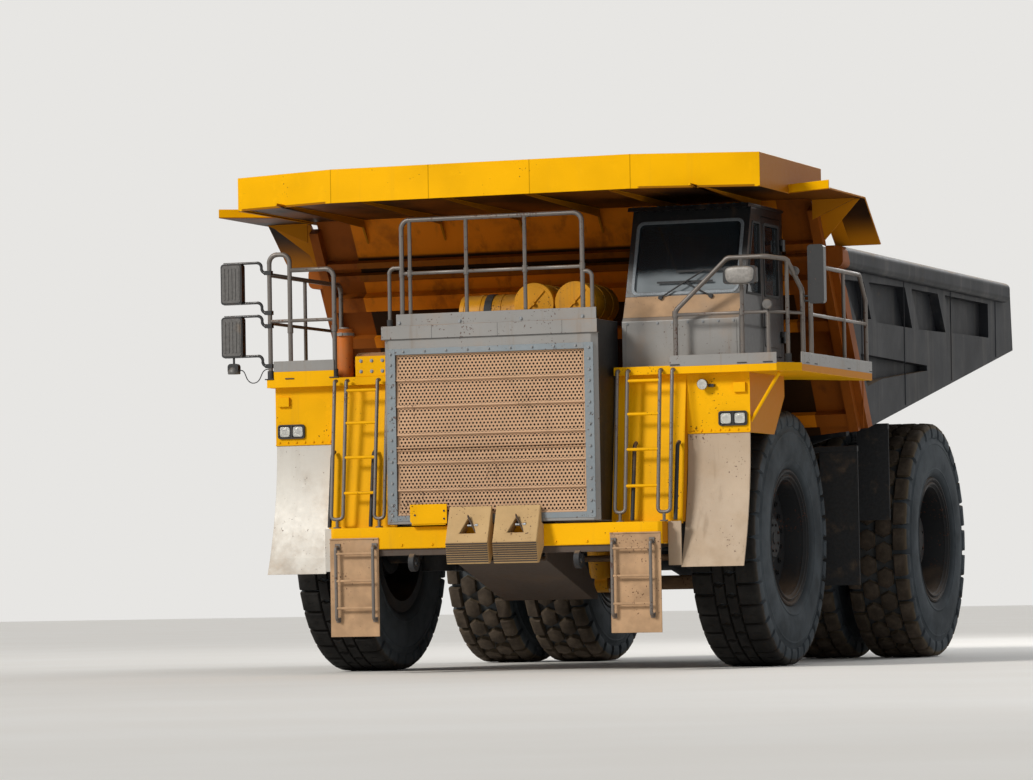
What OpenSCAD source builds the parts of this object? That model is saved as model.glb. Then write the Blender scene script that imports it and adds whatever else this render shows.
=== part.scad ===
// Rigid mining dump truck. Millimetres. X runs to the truck's left, Y rearwards, Z up.
// Lengthwise places are stations, measured back from the front axle's middle.

/* [Axles and track] */
// Distance between the axles
wheelbase = 4950; // [4700:10:5200]
// Distance between the middles of the front tyres
front_track = 4360; // [4300:10:4420]
// Distance between the middles of the outer rear tyres
rear_track = 4800; // [4760:10:4900]
// Distance between the middles of twin rear tyres
dual_spacing = 910; // [880:5:940]
// Distance between the steering pivots
kingpin_track = 2840; // [2800:10:2880]

/* [Tyres] */
// Radius over the lugs
tyre_r = 1335; // [1300:5:1345]
// Section width at the sidewall bulge
tyre_w = 760; // [720:5:790]
// Width over the tread
tread_w = 690; // [650:5:720]
// Depth of the tread lugs
lug_depth = 75; // [50:5:95]
// Lugs in each row round a tyre
lug_count = 34; // [20:1:36]
// Groove between two lugs
lug_gap = 62; // [50:1:110]

/* [Rims and hubs] */
// Radius over the rim flange
rim_r = 715; // [700:5:730]
// Radius of the bead seat
bead_r = 622; // [610:1:635]
// Half width between the rim flanges
bead_half_w = 300; // [280:5:310]
// Radius of the front spindles
spindle_r = 110; // [90:5:130]
// Radius of the rear axle's spindles
rear_spindle_r = 230; // [200:5:260]
// Radius of the front hubs
front_hub_r = 300; // [260:5:340]
// Radius of the rear final drives
rear_hub_r = 380; // [340:5:430]

/* [Frame] */
// Half the distance between the rails' outer faces
rail_out = 600; // [580:5:620]
// Width of a rail
rail_w = 170; // [140:5:200]
// Height of the rails' underside
rail_z = 1260; // [1240:5:1275]
// Height of the rails' top along the engine
rail_top_z = 1700; // [1650:5:1760]
// Radius of the suspension struts' outer tube
strut_r = 165; // [150:5:180]
// Radius of the front struts' rods
strut_rod_r = 120; // [100:5:130]
// Reach of the steering arms
steer_arm = 500; // [450:10:540]

/* [Front] */
// Station of the bumper's front face
bumper_y = -2110; // [-2150:10:-2080]
// Half length of the bumper
bumper_half = 1807; // [1700:10:1850]
// Height of the bumper's underside
bumper_z = 1280; // [1270:5:1300]
// Height of the bumper face
bumper_h = 225; // [200:5:245]
// Half width of the radiator housing
radiator_half = 1165; // [1100:5:1180]
// Height of the radiator's top
radiator_top = 3570; // [3500:10:3600]
// Station of the radiator's front face
radiator_y = -2150; // [-2200:10:-2120]
// Station of the radiator's rear face
radiator_back = -1475; // [-1600:5:-1470]
// Half width of the grille
grille_half = 1030; // [980:5:1050]

/* [Deck and cab] */
// Height of the deck's walking surface
deck_z = 3085; // [3060:5:3110]
// Thickness of the deck's edge
deck_t = 85; // [60:5:110]
// Station of the deck's front edge
deck_y = -1750; // [-1800:10:-1700]
// Station of the deck's rear edge
deck_back = 350; // [300:10:400]
// Distance of the walkway's outer edge from the middle
walkway_x = 3120; // [3080:10:3160]
// Distance of the right deck's outer edge from the middle
right_deck_x = 2660; // [2620:10:2700]
// Distance of the cab's inner side from the middle
cab_in = 1230; // [1200:10:1260]
// Distance of the cab's outer side from the middle
cab_out = 2500; // [2480:5:2510]
// Height of the cab's roof
cab_top = 4750; // [4700:10:4780]
// Thickness of the cab's walls and door
cab_wall = 60; // [50:5:80]
// Width of the door
door_w = 640; // [600:10:660]

/* [Dump body] */
// Width of the body over its side frames
body_w = 5900; // [5800:10:6000]
// Station of the floor's front edge
floor_y = 1530; // [1500:10:1560]
// Height of the floor's front edge at the sides
floor_z = 2510; // [2500:5:2540]
// Distance from the rear axle back to the floor's rear edge
tail_reach = 2980; // [2850:10:3050]
// Rise of the floor from its front edge to its rear edge
floor_rise = 1110; // [1090:5:1150]
// Drop of the floor from the sides to the middle
floor_vee = 300; // [250:5:310]
// Thickness of the floor
floor_t = 60; // [40:5:80]
// Height of the side rails' top
side_top = 4400; // [4360:5:4440]
// Distance of the tail's upper corner ahead of the floor's rear edge
tail_lean = 80; // [30:10:180]
// Forward reach of the front wall at the canopy
front_reach = 1430; // [1400:5:1450]
// Gap between the cab's roof and the canopy's underside
canopy_gap = 100; // [80:5:150]
// Height of the canopy's upright edge
canopy_h = 350; // [300:5:380]
// Station of the canopy's front edge
canopy_y = -2360; // [-2450:10:-2300]
// Half width of the canopy's front edge
canopy_front_half = 1630; // [1560:10:1700]
// Half width of the canopy
canopy_half = 2860; // [2820:5:2900]
// Station of the canopy's side corner
canopy_corner_y = -1930; // [-2000:10:-1850]
// Distance of the side wings' edge from the middle
wing_x = 3380; // [3300:10:3420]

/* [Tipping gear] */
// Distance from the rear axle back to the body's rear pivot
pivot_reach = 1200; // [1170:10:1250]
// Height of the body's rear pivot
pivot_z = 2450; // [2430:5:2470]
// Distance of the hoist cylinders from the middle
hoist_x = 800; // [780:5:820]
// Distance of the hoists' lower pins ahead of the rear axle
hoist_low_reach = 1350; // [1310:10:1390]
// Height of the hoists' lower pins
hoist_low_z = 900; // [860:10:940]
// Distance of the hoists' upper pins ahead of the rear axle
hoist_high_reach = 1750; // [1710:10:1790]
// Depth of the hoists' upper pins below the floor
hoist_drop = 150; // [145:5:180]
// Radius of the hoists' outer barrel
hoist_r = 150; // [140:5:160]

/* [Hidden] */
$fn = 48;

// Clearances: round things that turn, flat things that pass, and pieces that only sit together
turn_gap = 0.3;
pass_gap = 8;
seat_gap = 0.3;

// Colours
yellow = "#f2b50c";
orange = "#c9750f";
steel = "#5c626a";
dark = "#3a3c40";
black = "#1d1d1f";
rubber = "#26282a";
tan = "#a58e74";
pale = "#b9b4ab";
glass = "#9fb6bd";

// Places that follow from the axles and the cab's roof
tail_y = wheelbase + tail_reach;
tail_top_y = tail_y - tail_lean;
pivot_y = wheelbase + pivot_reach;
hoist_low_y = wheelbase - hoist_low_reach;
hoist_high_y = wheelbase - hoist_high_reach;
canopy_z = cab_top + canopy_gap;
// The origin stands under the middle of the whole length
origin_y = (tail_y + canopy_y) / 2;

module truck_frame() { translate([0, -origin_y, 0]) children(); }
module both_sides() { children(); mirror([1, 0, 0]) children(); }
module right_side() { mirror([1, 0, 0]) children(); }

// Outline in (Y, Z), drawn out along X from x0 to x1
module across(x0, x1) {
    translate([x0, 0, 0]) rotate([90, 0, 90]) linear_extrude(x1 - x0) children();
}
// Outline in (X, Z), drawn out along Y from y0 to y1
module along(y0, y1) {
    translate([0, y1, 0]) rotate([90, 0, 0]) linear_extrude(y1 - y0) children();
}
// Outline in (X, Y), drawn out along Z from z0 to z1
module upright(z0, z1) { translate([0, 0, z0]) linear_extrude(z1 - z0) children(); }
// Box from its lowest to its highest corner
module block(lo, hi) { translate(lo) cube(hi - lo); }
// Round bar along X
module pin_x(x0, x1, y, z, r) { translate([x0, y, z]) rotate([0, 90, 0]) cylinder(h = x1 - x0, r = r); }

// Straight round bar between two points
module bar(p, q, r) {
    d = q - p;
    translate(p) rotate([0, acos(d[2] / norm(d)), atan2(d[1], d[0])]) cylinder(h = norm(d), r = r);
}
// Bent tube through a list of points: each corner is an elbow, a little thicker than the tube
elbow_wall = 2;
elbow_lap = 4;
function heading(a, b) = (b - a) / norm(b - a);
function turn_at(p, i) = acos(heading(p[i - 1], p[i]) * heading(p[i], p[i + 1]));
module pipe(p, r, bend) {
    last = len(p) - 1;
    cut = [for (i = [0:last]) (i == 0 || i == last) ? 0 : bend * tan(turn_at(p, i) / 2) - elbow_lap];
    for (i = [0:last - 1]) {
        d = heading(p[i], p[i + 1]);
        bar(p[i] + d * cut[i], p[i + 1] - d * cut[i + 1], r);
    }
    for (i = [1:1:last - 1])
        elbow(p[i], heading(p[i - 1], p[i]), heading(p[i], p[i + 1]), r + elbow_wall, bend);
}
module elbow(p, a, b, r, bend) {
    turn = acos(a * b);
    n = cross(a, b) / sin(turn);
    e = cross(a, n);
    c = p - a * bend * tan(turn / 2) - e * bend;
    multmatrix([[e[0], a[0], n[0], c[0]], [e[1], a[1], n[1], c[1]], [e[2], a[2], n[2], c[2]]])
        rotate_extrude(angle = turn) translate([bend, 0]) circle(r = r);
}

// Tyres and wheels

lug_pitch = 360 / lug_count;
lug_len = 2 * PI * tyre_r / lug_count - lug_gap;
lug_half_angle = asin(lug_len / 2 / tyre_r);
lug_face_r = tyre_r * cos(lug_half_angle);
carcass_r = tyre_r - lug_depth;
tread_half = tread_w / 2;
centre_groove = 22;
// A wheel rests on the corners of two lugs in the staggered row
axle_z = tyre_r * cos(lug_pitch / 2 - lug_half_angle);
bulge = tyre_w / 2 - (bead_half_w + tread_half) / 2;
side_steps = 7;

// Section of a tyre: X is the radius and Y runs along the axle
module tyre_section() {
    side = [for (i = [0:side_steps]) let (t = i / side_steps)
        [rim_r + 3 + t * (carcass_r - 50 - rim_r - 3),
         bead_half_w + 28 + t * (tread_half - 10 - bead_half_w - 28) + (bulge - 12) * sin(180 * t)]];
    half = concat([[bead_r, 0], [bead_r, bead_half_w - 1], [rim_r + 3, bead_half_w - 1]], side,
        [[carcass_r, tread_half - 60], [carcass_r + 8, 0]]);
    polygon(half);
    mirror([0, 1]) polygon(half);
}
// One lug in the same plane, from the middle groove over the shoulder
module lug_section() {
    polygon([[carcass_r - 30, centre_groove], [lug_face_r, centre_groove],
        [lug_face_r, tread_half - 30], [lug_face_r - 28, tread_half],
        [carcass_r - 95, tread_half + 24], [carcass_r - 95, tread_half - 40]]);
}
module lug_row() {
    for (i = [0:lug_count - 1]) rotate([0, 0, i * lug_pitch])
        rotate([90, 0, 0]) linear_extrude(lug_len, center = true) lug_section();
}
module tyre() {
    rotate([0, 90, 0]) {
        rotate_extrude($fn = 96) tyre_section();
        lug_row();
        rotate([0, 0, lug_pitch / 2]) mirror([0, 0, 1]) lug_row();
    }
}
// Places of the wheels' middles
front_x = front_track / 2;
rear_x = rear_track / 2;
inner_x = rear_x - dual_spacing;
module at_front_wheel() { translate([front_x, 0, axle_z]) children(); }
module at_rear_wheel(x) { translate([x, wheelbase, axle_z]) children(); }

module tyre_front_left() { color(rubber) truck_frame() at_front_wheel() tyre(); }
module tyre_front_right() { color(rubber) truck_frame() right_side() at_front_wheel() tyre(); }
module rear_tyres() { for (x = [inner_x, rear_x]) at_rear_wheel(x) tyre(); }
module tyres_rear_left() { color(rubber) truck_frame() rear_tyres(); }
module tyres_rear_right() { color(rubber) truck_frame() right_side() rear_tyres(); }

// Section of a rim's barrel and flanges, with X as the radius
barrel_t = 32;
flange_w = 30;
barrel_r = bead_r - turn_gap;
module rim_section() {
    translate([barrel_r - barrel_t, -bead_half_w - flange_w])
        square([barrel_t, 2 * (bead_half_w + flange_w)]);
    for (s = [-1, 1]) translate([barrel_r - barrel_t, s * (bead_half_w + flange_w / 2) - flange_w / 2])
        square([rim_r - barrel_r + barrel_t, flange_w]);
    // Inner step ring, as on a five-piece earthmover rim
    translate([barrel_r - barrel_t - 22, bead_half_w - 40]) square([24, 44]);
}
hub_clear = turn_gap;
disc_out = 95;
disc_t = 45;
module front_rim() {
    rotate([0, 90, 0]) rotate_extrude($fn = 96) {
        rim_section();
        // Dished disc and hub
        polygon([[front_hub_r - 5, disc_out - 130], [barrel_r - barrel_t + 4, disc_out - disc_t],
            [barrel_r - barrel_t + 4, disc_out], [front_hub_r - 5, disc_out - 130 + disc_t]]);
        difference() {
            union() {
                translate([0, -210]) square([front_hub_r, 330]);
                translate([0, 120]) square([front_hub_r - 90, 45]);
            }
            translate([0, -211]) square([spindle_r + hub_clear, 291]);
        }
    }
}
module rim_front_left() { color(dark) truck_frame() at_front_wheel() front_rim(); }
module rim_front_right() { color(dark) truck_frame() right_side() at_front_wheel() front_rim(); }

// Twin rims on one final drive; Y runs outboard from the outer rim's middle
module rear_rims() {
    at_rear_wheel(rear_x) rotate([0, 90, 0]) rotate_extrude($fn = 96) {
        rim_section();
        translate([0, -dual_spacing]) rim_section();
        // Spacer band between the twin rims
        translate([barrel_r - barrel_t, -dual_spacing + bead_half_w])
            square([barrel_t, dual_spacing - 2 * bead_half_w]);
        // Mounting ring and final drive
        translate([rear_hub_r - 5, -150]) square([barrel_r - barrel_t - rear_hub_r + 9, 50]);
        difference() {
            union() {
                translate([0, -dual_spacing - 180]) square([rear_hub_r, dual_spacing + 180 + 60]);
                translate([0, 60]) square([rear_hub_r - 70, 70]);
                translate([0, 130]) square([150, 30]);
            }
            translate([0, -dual_spacing - 181]) square([rear_spindle_r + hub_clear,
                dual_spacing + 181 - 40]);
        }
    }
}
module rims_rear_left() { color(dark) truck_frame() rear_rims(); }
module rims_rear_right() { color(dark) truck_frame() right_side() rear_rims(); }

// Steering

kingpin_x = kingpin_track / 2;
arm_z = 1060;
arm_t = 60;
tie_rod_z = arm_z + arm_t + 40;
tie_pin_r = 35;
eye_r = 75;
strut_low = 1750;
strut_high = 2700;
spindle_end = front_x + 78;
module knuckle() {
    translate([kingpin_x, 0, 0]) {
        // Strut rod, which is also the steering pivot
        translate([0, 0, axle_z]) cylinder(h = 900, r = strut_rod_r);
        translate([0, 0, arm_z]) cylinder(h = strut_low - arm_z - pass_gap, r = strut_r + 20);
        // Steering arm and the tie rod's pin
        upright(arm_z, arm_z + arm_t) {
            translate([-90, 0]) square([180, steer_arm]);
            translate([0, steer_arm]) circle(r = 90);
        }
        translate([0, steer_arm, arm_z]) cylinder(h = arm_t + 85, r = tie_pin_r);
    }
    // Spindle, thicker where it leaves the knuckle
    pin_x(kingpin_x, spindle_end, 0, axle_z, spindle_r);
    pin_x(kingpin_x, front_x - 210 - pass_gap, 0, axle_z, spindle_r + 75);
}
module knuckle_left() { color(steel) truck_frame() knuckle(); }
module knuckle_right() { color(steel) truck_frame() right_side() knuckle(); }
module tie_rod() {
    color(steel) truck_frame() {
        rod_reach = kingpin_x - eye_r + 10;
        translate([-rod_reach, steer_arm, tie_rod_z]) rotate([0, 90, 0])
            cylinder(h = 2 * rod_reach, r = 34);
        both_sides() translate([kingpin_x, steer_arm, tie_rod_z - 36]) difference() {
            cylinder(h = 72, r = eye_r);
            translate([0, 0, -1]) cylinder(h = 74, r = tie_pin_r + turn_gap);
        }
    }
}

// Frame and running gear

// Angle of the floor, and its height over a place at a distance x from the middle
floor_angle = atan(floor_rise / (tail_y - floor_y));
floor_slope = floor_rise / (tail_y - floor_y);
body_half = body_w / 2;
function floor_at(y, x) = floor_z + (y - floor_y) * floor_slope - (body_half - x) * floor_vee / body_half;
beam_depth = 200;
pad_t = 40;
rail_mid = rail_out - rail_w / 2;
function rail_top_at(y) = floor_at(y, rail_mid) - beam_depth - pad_t;
rail_front = bumper_y + 210;
radiator_z = 1530;
rail_end = pivot_y - 150;
rail_climb = 1300;
module rail_outline() {
    polygon([[rail_front, rail_z], [rail_climb, rail_z], [wheelbase - 1700, rail_z + 120],
        [wheelbase - 650, rail_z + 420], [wheelbase + 550, pivot_z - 400], [rail_end, pivot_z - 220],
        [rail_end, rail_top_at(rail_end)], [rail_climb + 250, rail_top_at(rail_climb + 250)],
        [rail_climb - 400, rail_top_z], [engine_front, rail_top_z], [radiator_back + 20, radiator_z],
        [rail_front, radiator_z]]);
    // Ear round the body's pivot
    translate([pivot_y, pivot_z]) circle(r = pivot_ear_r);
    polygon([[rail_end - 200, pivot_z - 300], [pivot_y, pivot_z - pivot_ear_r],
        [pivot_y, pivot_z + pivot_ear_r], [rail_end - 150, pivot_z + 150]]);
    // Hanger of the hoist's lower pin
    polygon([[hoist_low_y - 450, 1500], [hoist_low_y - 130, hoist_low_z],
        [hoist_low_y + 130, hoist_low_z], [hoist_low_y + 420, 1500]]);
    translate([hoist_low_y, hoist_low_z]) circle(r = 130);
}
hoist_pin_r = 60;
hoist_eye_w = 150;
pivot_pin_r = 65;
pivot_ear_r = 190;
// Station and height of the rear struts' ends
strut_pin = [wheelbase + 610, pivot_z - 120];
strut_foot = [wheelbase + 380, 1500];
strut_dir = heading(strut_foot, strut_pin);
strut_side = [strut_dir[1], -strut_dir[0]];
strut_start = 86;
strut_x = 800;
module frame() {
    color(steel) truck_frame() {
        both_sides() {
            across(rail_out - rail_w, rail_out) rail_outline();
            pin_x(rail_out - 5, hoist_x + hoist_eye_w / 2 + 25, hoist_low_y, hoist_low_z, hoist_pin_r);
            pin_x(rail_out - 5, strut_x + 80, strut_pin[0], strut_pin[1], 50);
            pin_x(rail_out - 5, rail_out + 110, pivot_y, pivot_z, pivot_pin_r);
        }
        // Cross tubes: station, height, radius
        for (t = [[rail_front + 210, rail_z + 140, 90], [0, rail_z + 125, 110],
                [rail_climb + 120, rail_z + 120, 80], [wheelbase - arm_reach, 1900, 100],
                [hoist_low_y, hoist_low_z, 80], [strut_pin[0], strut_pin[1], 110], [pivot_y, pivot_z, 130]])
            pin_x(rail_w - rail_out, rail_out - rail_w, t[0], t[1], t[2]);
    }
}
module front_struts() {
    color(steel) truck_frame() both_sides() {
        difference() {
            union() {
                translate([kingpin_x, 0, strut_low]) cylinder(h = strut_high - strut_low, r = strut_r);
                // Arm from the rail to the strut
                along(-130, 130) polygon([[rail_out, rail_z + 80],
                    [kingpin_x - strut_r - 60, strut_low + 30],
                    [kingpin_x - 60, strut_low + 30], [kingpin_x - 60, strut_high - 120],
                    [kingpin_x - 260, strut_high - 120], [rail_out, rail_top_z]]);
            }
            translate([kingpin_x, 0, strut_low - 1]) cylinder(h = 620, r = strut_rod_r + turn_gap);
        }
    }
}
arm_reach = 1710;
axle_tube_r = 290;
axle_tube_end = inner_x - bead_half_w - 30;
module rear_axle() {
    color(steel) truck_frame() translate([0, wheelbase, axle_z]) {
        rotate([0, 90, 0]) rotate_extrude($fn = 64) {
            half = [[0, 0], [430, 0], [430, 190], [axle_tube_r, 420], [axle_tube_r, axle_tube_end],
                [rear_spindle_r, axle_tube_end], [rear_spindle_r, rear_x - 60], [0, rear_x - 60]];
            polygon(half);
            mirror([0, 1]) polygon(half);
        }
        // Nose for the drive shaft
        translate([0, -nose_reach, 0]) rotate([-90, 0, 0]) cylinder(h = 500, r1 = 2 * shaft_r, r2 = 300);
        // Arms that hold the axle fore and aft
        both_sides() along(-arm_reach, -150) polygon([[240, -60], [400, -60], [400, 90], [240, 90]]);
        both_sides() pin_x(0, rail_out - rail_w - seat_gap, -arm_reach, 20, 95);
        // Feet of the rear struts, each with a seat square to its strut
        seat_at = strut_foot + strut_dir * (strut_start - seat_gap) - [wheelbase, axle_z];
        both_sides() across(strut_x - 75, strut_x + 75)
            polygon([[150, 0], seat_at + strut_side * 85, seat_at - strut_side * 85, [-100, 250]]);
    }
}
module rear_struts() {
    color(steel) truck_frame() both_sides() {
        dir = [0, strut_dir[0], strut_dir[1]];
        run = norm(strut_pin - strut_foot);
        p = [strut_x, strut_foot[0], strut_foot[1]];
        difference() {
            union() {
                bar(p + dir * strut_start, p + dir * run * 0.55, 75);
                bar(p + dir * run * 0.5, p + dir * run * 0.9, 98);
                pin_x(strut_x - 70, strut_x + 70, strut_pin[0], strut_pin[1], 95);
            }
            pin_x(strut_x - 71, strut_x + 71, strut_pin[0], strut_pin[1], 50 + turn_gap);
        }
    }
}
engine_front = -1150;
engine_back = 1150;
engine_z = rail_top_z - 170;
engine_half = 400;
engine_top = 2700;
module engine() {
    color(dark) truck_frame() {
        across(-engine_half, engine_half) polygon([[engine_front, engine_z], [engine_back, engine_z],
            [engine_back, engine_top - 200], [engine_back - 200, engine_top],
            [engine_front + 150, engine_top], [engine_front, engine_top - 200]]);
    }
}
shaft_z = rail_top_z + 20;
shaft_r = 75;
nose_reach = 840;
gearbox = [engine_back + 600, engine_back + 1800];
gearbox_half = 320;
// The tilted shaft stops short of the axle's nose by more than its edge reaches
shaft_play = 20;
module driveline() {
    color(dark) truck_frame() {
        // Gearbox between the rails, and the shafts before and behind it
        across(-gearbox_half, gearbox_half) polygon([[gearbox[0], shaft_z - 300],
            [gearbox[1], shaft_z - 200], [gearbox[1], shaft_z + 80], [gearbox[1] - 200, shaft_z + 240],
            [gearbox[0], shaft_z + 240]]);
        bar([0, engine_back + seat_gap, shaft_z], [0, gearbox[0] + 5, shaft_z], shaft_r);
        bar([0, gearbox[1] - 5, shaft_z - 100], [0, wheelbase - nose_reach - shaft_play, axle_z], shaft_r);
        // Feet on the rails
        both_sides() for (y = [gearbox[0] + 150, gearbox[1] - 330])
            block([gearbox_half - 5, y, shaft_z - 160], [rail_out - rail_w, y + 180, shaft_z - 60]);
    }
}
tank_in = 960;
tank_y = 1880;
tank_z = 1400;
module tanks() {
    color(dark) truck_frame() {
        // Fuel tank on the left, oil tank on the right, each held to its rail by two arms:
        // side, length, width, half height
        for (s = [[1, 820, 1320, 400], [-1, 680, 1190, 330]]) scale_x(s[0]) {
            along(tank_y, tank_y + s[1])
                rounded_box(tank_in, tank_z - s[3], tank_in + s[2], tank_z + s[3], 120);
            for (y = [tank_y + 160, tank_y + s[1] - 260])
                block([rail_out, y, tank_z + 100], [tank_in + 20, y + 100, tank_z + 280]);
        }
    }
}
module scale_x(s) { if (s < 0) mirror([1, 0, 0]) children(); else children(); }
module rounded_box(x0, y0, x1, y1, r) {
    translate([x0 + r, y0]) square([x1 - x0 - 2 * r, y1 - y0]);
    translate([x0, y0 + r]) square([x1 - x0, y1 - y0 - 2 * r]);
    for (x = [x0 + r, x1 - r], y = [y0 + r, y1 - r]) translate([x, y]) circle(r = r);
}

// Front end

radiator_cap = 140;
toe_h = 120;
grille_z = 1620;
grille_top = 3270;
grille_recess = 90;
module radiator() {
    color(steel) truck_frame() {
        difference() {
            upright(radiator_z, radiator_top) polygon([[-radiator_half, radiator_back],
                [-radiator_half, radiator_y + 60],
                [-radiator_half + 60, radiator_y], [radiator_half - 60, radiator_y],
                [radiator_half, radiator_y + 60], [radiator_half, radiator_back]]);
            block([-grille_half, radiator_y - 1, grille_z],
                [grille_half, radiator_y + grille_recess, grille_top]);
        }
        // Cap band, and the toe plate of the walkway on top
        block([-radiator_half - 12, radiator_y - 14, radiator_top - radiator_cap],
            [radiator_half + 12, radiator_y + 60, radiator_top]);
        block([-radiator_half + 150, radiator_y + 4, radiator_top - 5],
            [radiator_half, radiator_y + 20, radiator_top + toe_h]);
        // Shroud of the fan
        translate([0, radiator_back - 5, 2350]) rotate([-90, 0, 0]) cylinder(h = 180, r = 620);
        translate([0, radiator_back + 170, 2350]) rotate([-90, 0, 0])
            cylinder(h = engine_front - radiator_back - 170, r = 120);
    }
}
// Grille: louvre bands between height breaks
grille_breaks = [1620, 1870, 2150, 2440, 2730, 3000, 3270];
module grille() {
    color(tan) truck_frame() {
        for (i = [0:len(grille_breaks) - 2]) {
            lo = grille_breaks[i];
            hi = grille_breaks[i + 1];
            across(-grille_half + 1, grille_half - 1) polygon([[radiator_y + 60, lo + 1],
                [radiator_y + 14, lo + 1],
                [radiator_y + 30, hi], [radiator_y + 60, hi]]);
        }
        block([-grille_half + 1, radiator_y + 40, grille_z + 1],
            [grille_half - 1, radiator_y + 60, grille_top - 1]);
    }
}
bumper_top = bumper_z + bumper_h;
module bumper() {
    color(yellow) truck_frame() {
        upright(bumper_z, bumper_top) polygon([[-bumper_half, rail_front], [-bumper_half, bumper_y + 40],
            [-bumper_half + 40, bumper_y], [bumper_half - 40, bumper_y], [bumper_half, bumper_y + 40],
            [bumper_half, rail_front]]);
        // Lower lip, set back
        block([-bumper_half + 20, bumper_y + 25, bumper_z - 70],
            [bumper_half - 20, bumper_y + 60, bumper_z + 5]);
        // Towing eyes
        both_sides() difference() {
            across(tow_x - 30, tow_x + 30) {
                translate([bumper_y + 60, tow_z]) circle(r = 95);
                translate([bumper_y + 30, tow_z]) square([130, bumper_z + 5 - tow_z]);
            }
            pin_x(tow_x - 31, tow_x + 31, bumper_y + 60, tow_z, tow_r);
        }
        // Blank plate
        along(radiator_y - 25, radiator_y - 13) polygon([[-885, 1560], [-860, 1530], [-480, 1530],
            [-480, 1730], [-885, 1730]]);
        block([-870, radiator_y - 15, bumper_top - 5], [-500, radiator_y - 13, 1600]);
        block([-870, radiator_y - 15, bumper_top - 5], [-500, bumper_y + 30, bumper_top + 12]);
    }
}
tow_x = 900;
tow_z = 1140;
tow_r = 40;
guard_half = 500;
module belly_guard() {
    color(tan) truck_frame() {
        across(-guard_half, guard_half) polygon([[rail_front + 10, 1150], [rail_front + 10, 1130],
            [-500, 730], [-340, 730],
            [-340, 750], [-500, 750]]);
        both_sides() across(guard_half - 25, guard_half) polygon([[rail_front + 10, rail_z],
            [rail_front + 10, 1130],
            [-500, 740], [-340, 740], [-340, 790], [-900, rail_z]]);
    }
}
// Wheel chocks that ride on the bumper: left edge, right edge
chock_places = [[-440, 20], [70, 550]];
chock_y = -2295;
module wheel_chocks() {
    color(tan) truck_frame() for (c = chock_places) {
        difference() {
            across(c[0], c[1]) polygon([[bumper_y - seat_gap, 1280], [bumper_y - seat_gap, bumper_top],
                [radiator_y - 20, bumper_top + 20], [radiator_y - 20, 1690], [radiator_y - 50, 1700],
                [chock_y - 45, 1330], [chock_y - 10, 1110], [chock_y + 40, 1110]]);
            along(chock_y - 100, bumper_y + 10) polygon([[(c[0] + c[1]) / 2 - 90, 1420],
                [(c[0] + c[1]) / 2 + 90, 1420], [(c[0] + c[1]) / 2, 1590]]);
        }
    }
}
step_in = 1260;
step_out = 1800;
step_t = 14;
step_y = bumper_y - step_t - seat_gap;
step_rail_y = step_y - 62;
module access_steps() {
    color(tan) truck_frame() both_sides() {
        along(step_y, step_y + step_t) polygon([[step_in, 385], [step_out, 385], [step_out, 1400],
            [step_in, 1400]]);
        // Ladder in front of the plate
        for (x = [step_in + 40, step_out - 90]) pipe([[x, step_y + 10, 560], [x, step_rail_y, 560],
            [x, step_rail_y, 1310], [x, step_y + 10, 1310]], 16, 40);
        for (z = [680, 960, 1240]) bar([step_in + 40, step_rail_y, z], [step_out - 90, step_rail_y, z], 13);
    }
}
// Ladders: the hoops stand on the bumper and lean back to the deck
ladder_low = [-1950, 1600];
ladder_turn = deck_y - 50;
ladder_top = 3045;
hoops = [[1260, 1370], [1720, 1850]];
function ladder_y(z) = ladder_low[0] + (z - ladder_low[1]) * (ladder_turn - ladder_low[0])
    / (ladder_top - ladder_low[1]);
module ladders() {
    color(steel) truck_frame() both_sides() {
        for (h = hoops) {
            pipe([[h[0], deck_y - seat_gap, ladder_top], [h[0], ladder_turn, ladder_top],
                [h[0], ladder_low[0], ladder_low[1]], [h[1], ladder_low[0], ladder_low[1]],
                [h[1], ladder_turn, ladder_top], [h[1], deck_y - seat_gap, ladder_top]], 19, 45);
            mid = (h[0] + h[1]) / 2;
            bar([mid, ladder_low[0], bumper_top + seat_gap], [mid, ladder_low[0], ladder_low[1]], 15);
        }
        // Rungs, let into the hoops
        for (z = [1870, 2240, 2600, 2940])
            bar([hoops[0][1], ladder_y(z), z], [hoops[1][0], ladder_y(z), z], 15);
    }
}
cabinet_in = 1900;
apron_in = 1940;
// The leaning wall behind the ladders stands on a shelf behind the bumper
wall_in = radiator_half + 10;
wall_out = apron_in - 5;
wall_t = 20;
wall_foot = [-1812, 1502];
wall_top_y = -1602;
cabinet_out = 2607;
cabinet_y = -1600;
cabinet_z = 2390;
deck_under = deck_z - deck_t;
module cabinets() {
    color(yellow) truck_frame() both_sides() {
        block([cabinet_in, cabinet_y, cabinet_z], [cabinet_out, cabinet_y + 40, deck_under]);
        across(cabinet_out - 22, cabinet_out) polygon([[cabinet_y, cabinet_z], [cabinet_y, deck_under],
            [-400, deck_under], [-400, 2790], [-780, cabinet_z]]);
        // Box above the tyre
        block([cabinet_in, cabinet_y + 30, 2790], [cabinet_out - 10, -500, deck_under]);
        // Shelf and leaning wall, and the wall's return to the cabinet
        block([wall_in, rail_front, wall_foot[1] - wall_t], [bumper_half, wall_foot[0] + 10, wall_foot[1]]);
        across(wall_in, wall_out) polygon([[wall_foot[0], wall_foot[1] - wall_t], [wall_top_y, deck_under],
            [wall_top_y + wall_t, deck_under], [wall_foot[0] + wall_t, wall_foot[1] - wall_t]]);
        across(wall_out - wall_t, wall_out) polygon([wall_foot, [wall_top_y, deck_under],
            [cabinet_y + 40, deck_under], [cabinet_y + 40, cabinet_z], [-1710, wall_foot[1]]]);
    }
    // Brace from the left cabinet out to the walkway's corner
    color(yellow) truck_frame()
        bar([cabinet_out - 15, cabinet_y + 60, 2500], [2930, cabinet_y - 20, deck_under - 12], 18);
}
lamp_x = [2274, 2578];
lamp_z = 2537;
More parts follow.
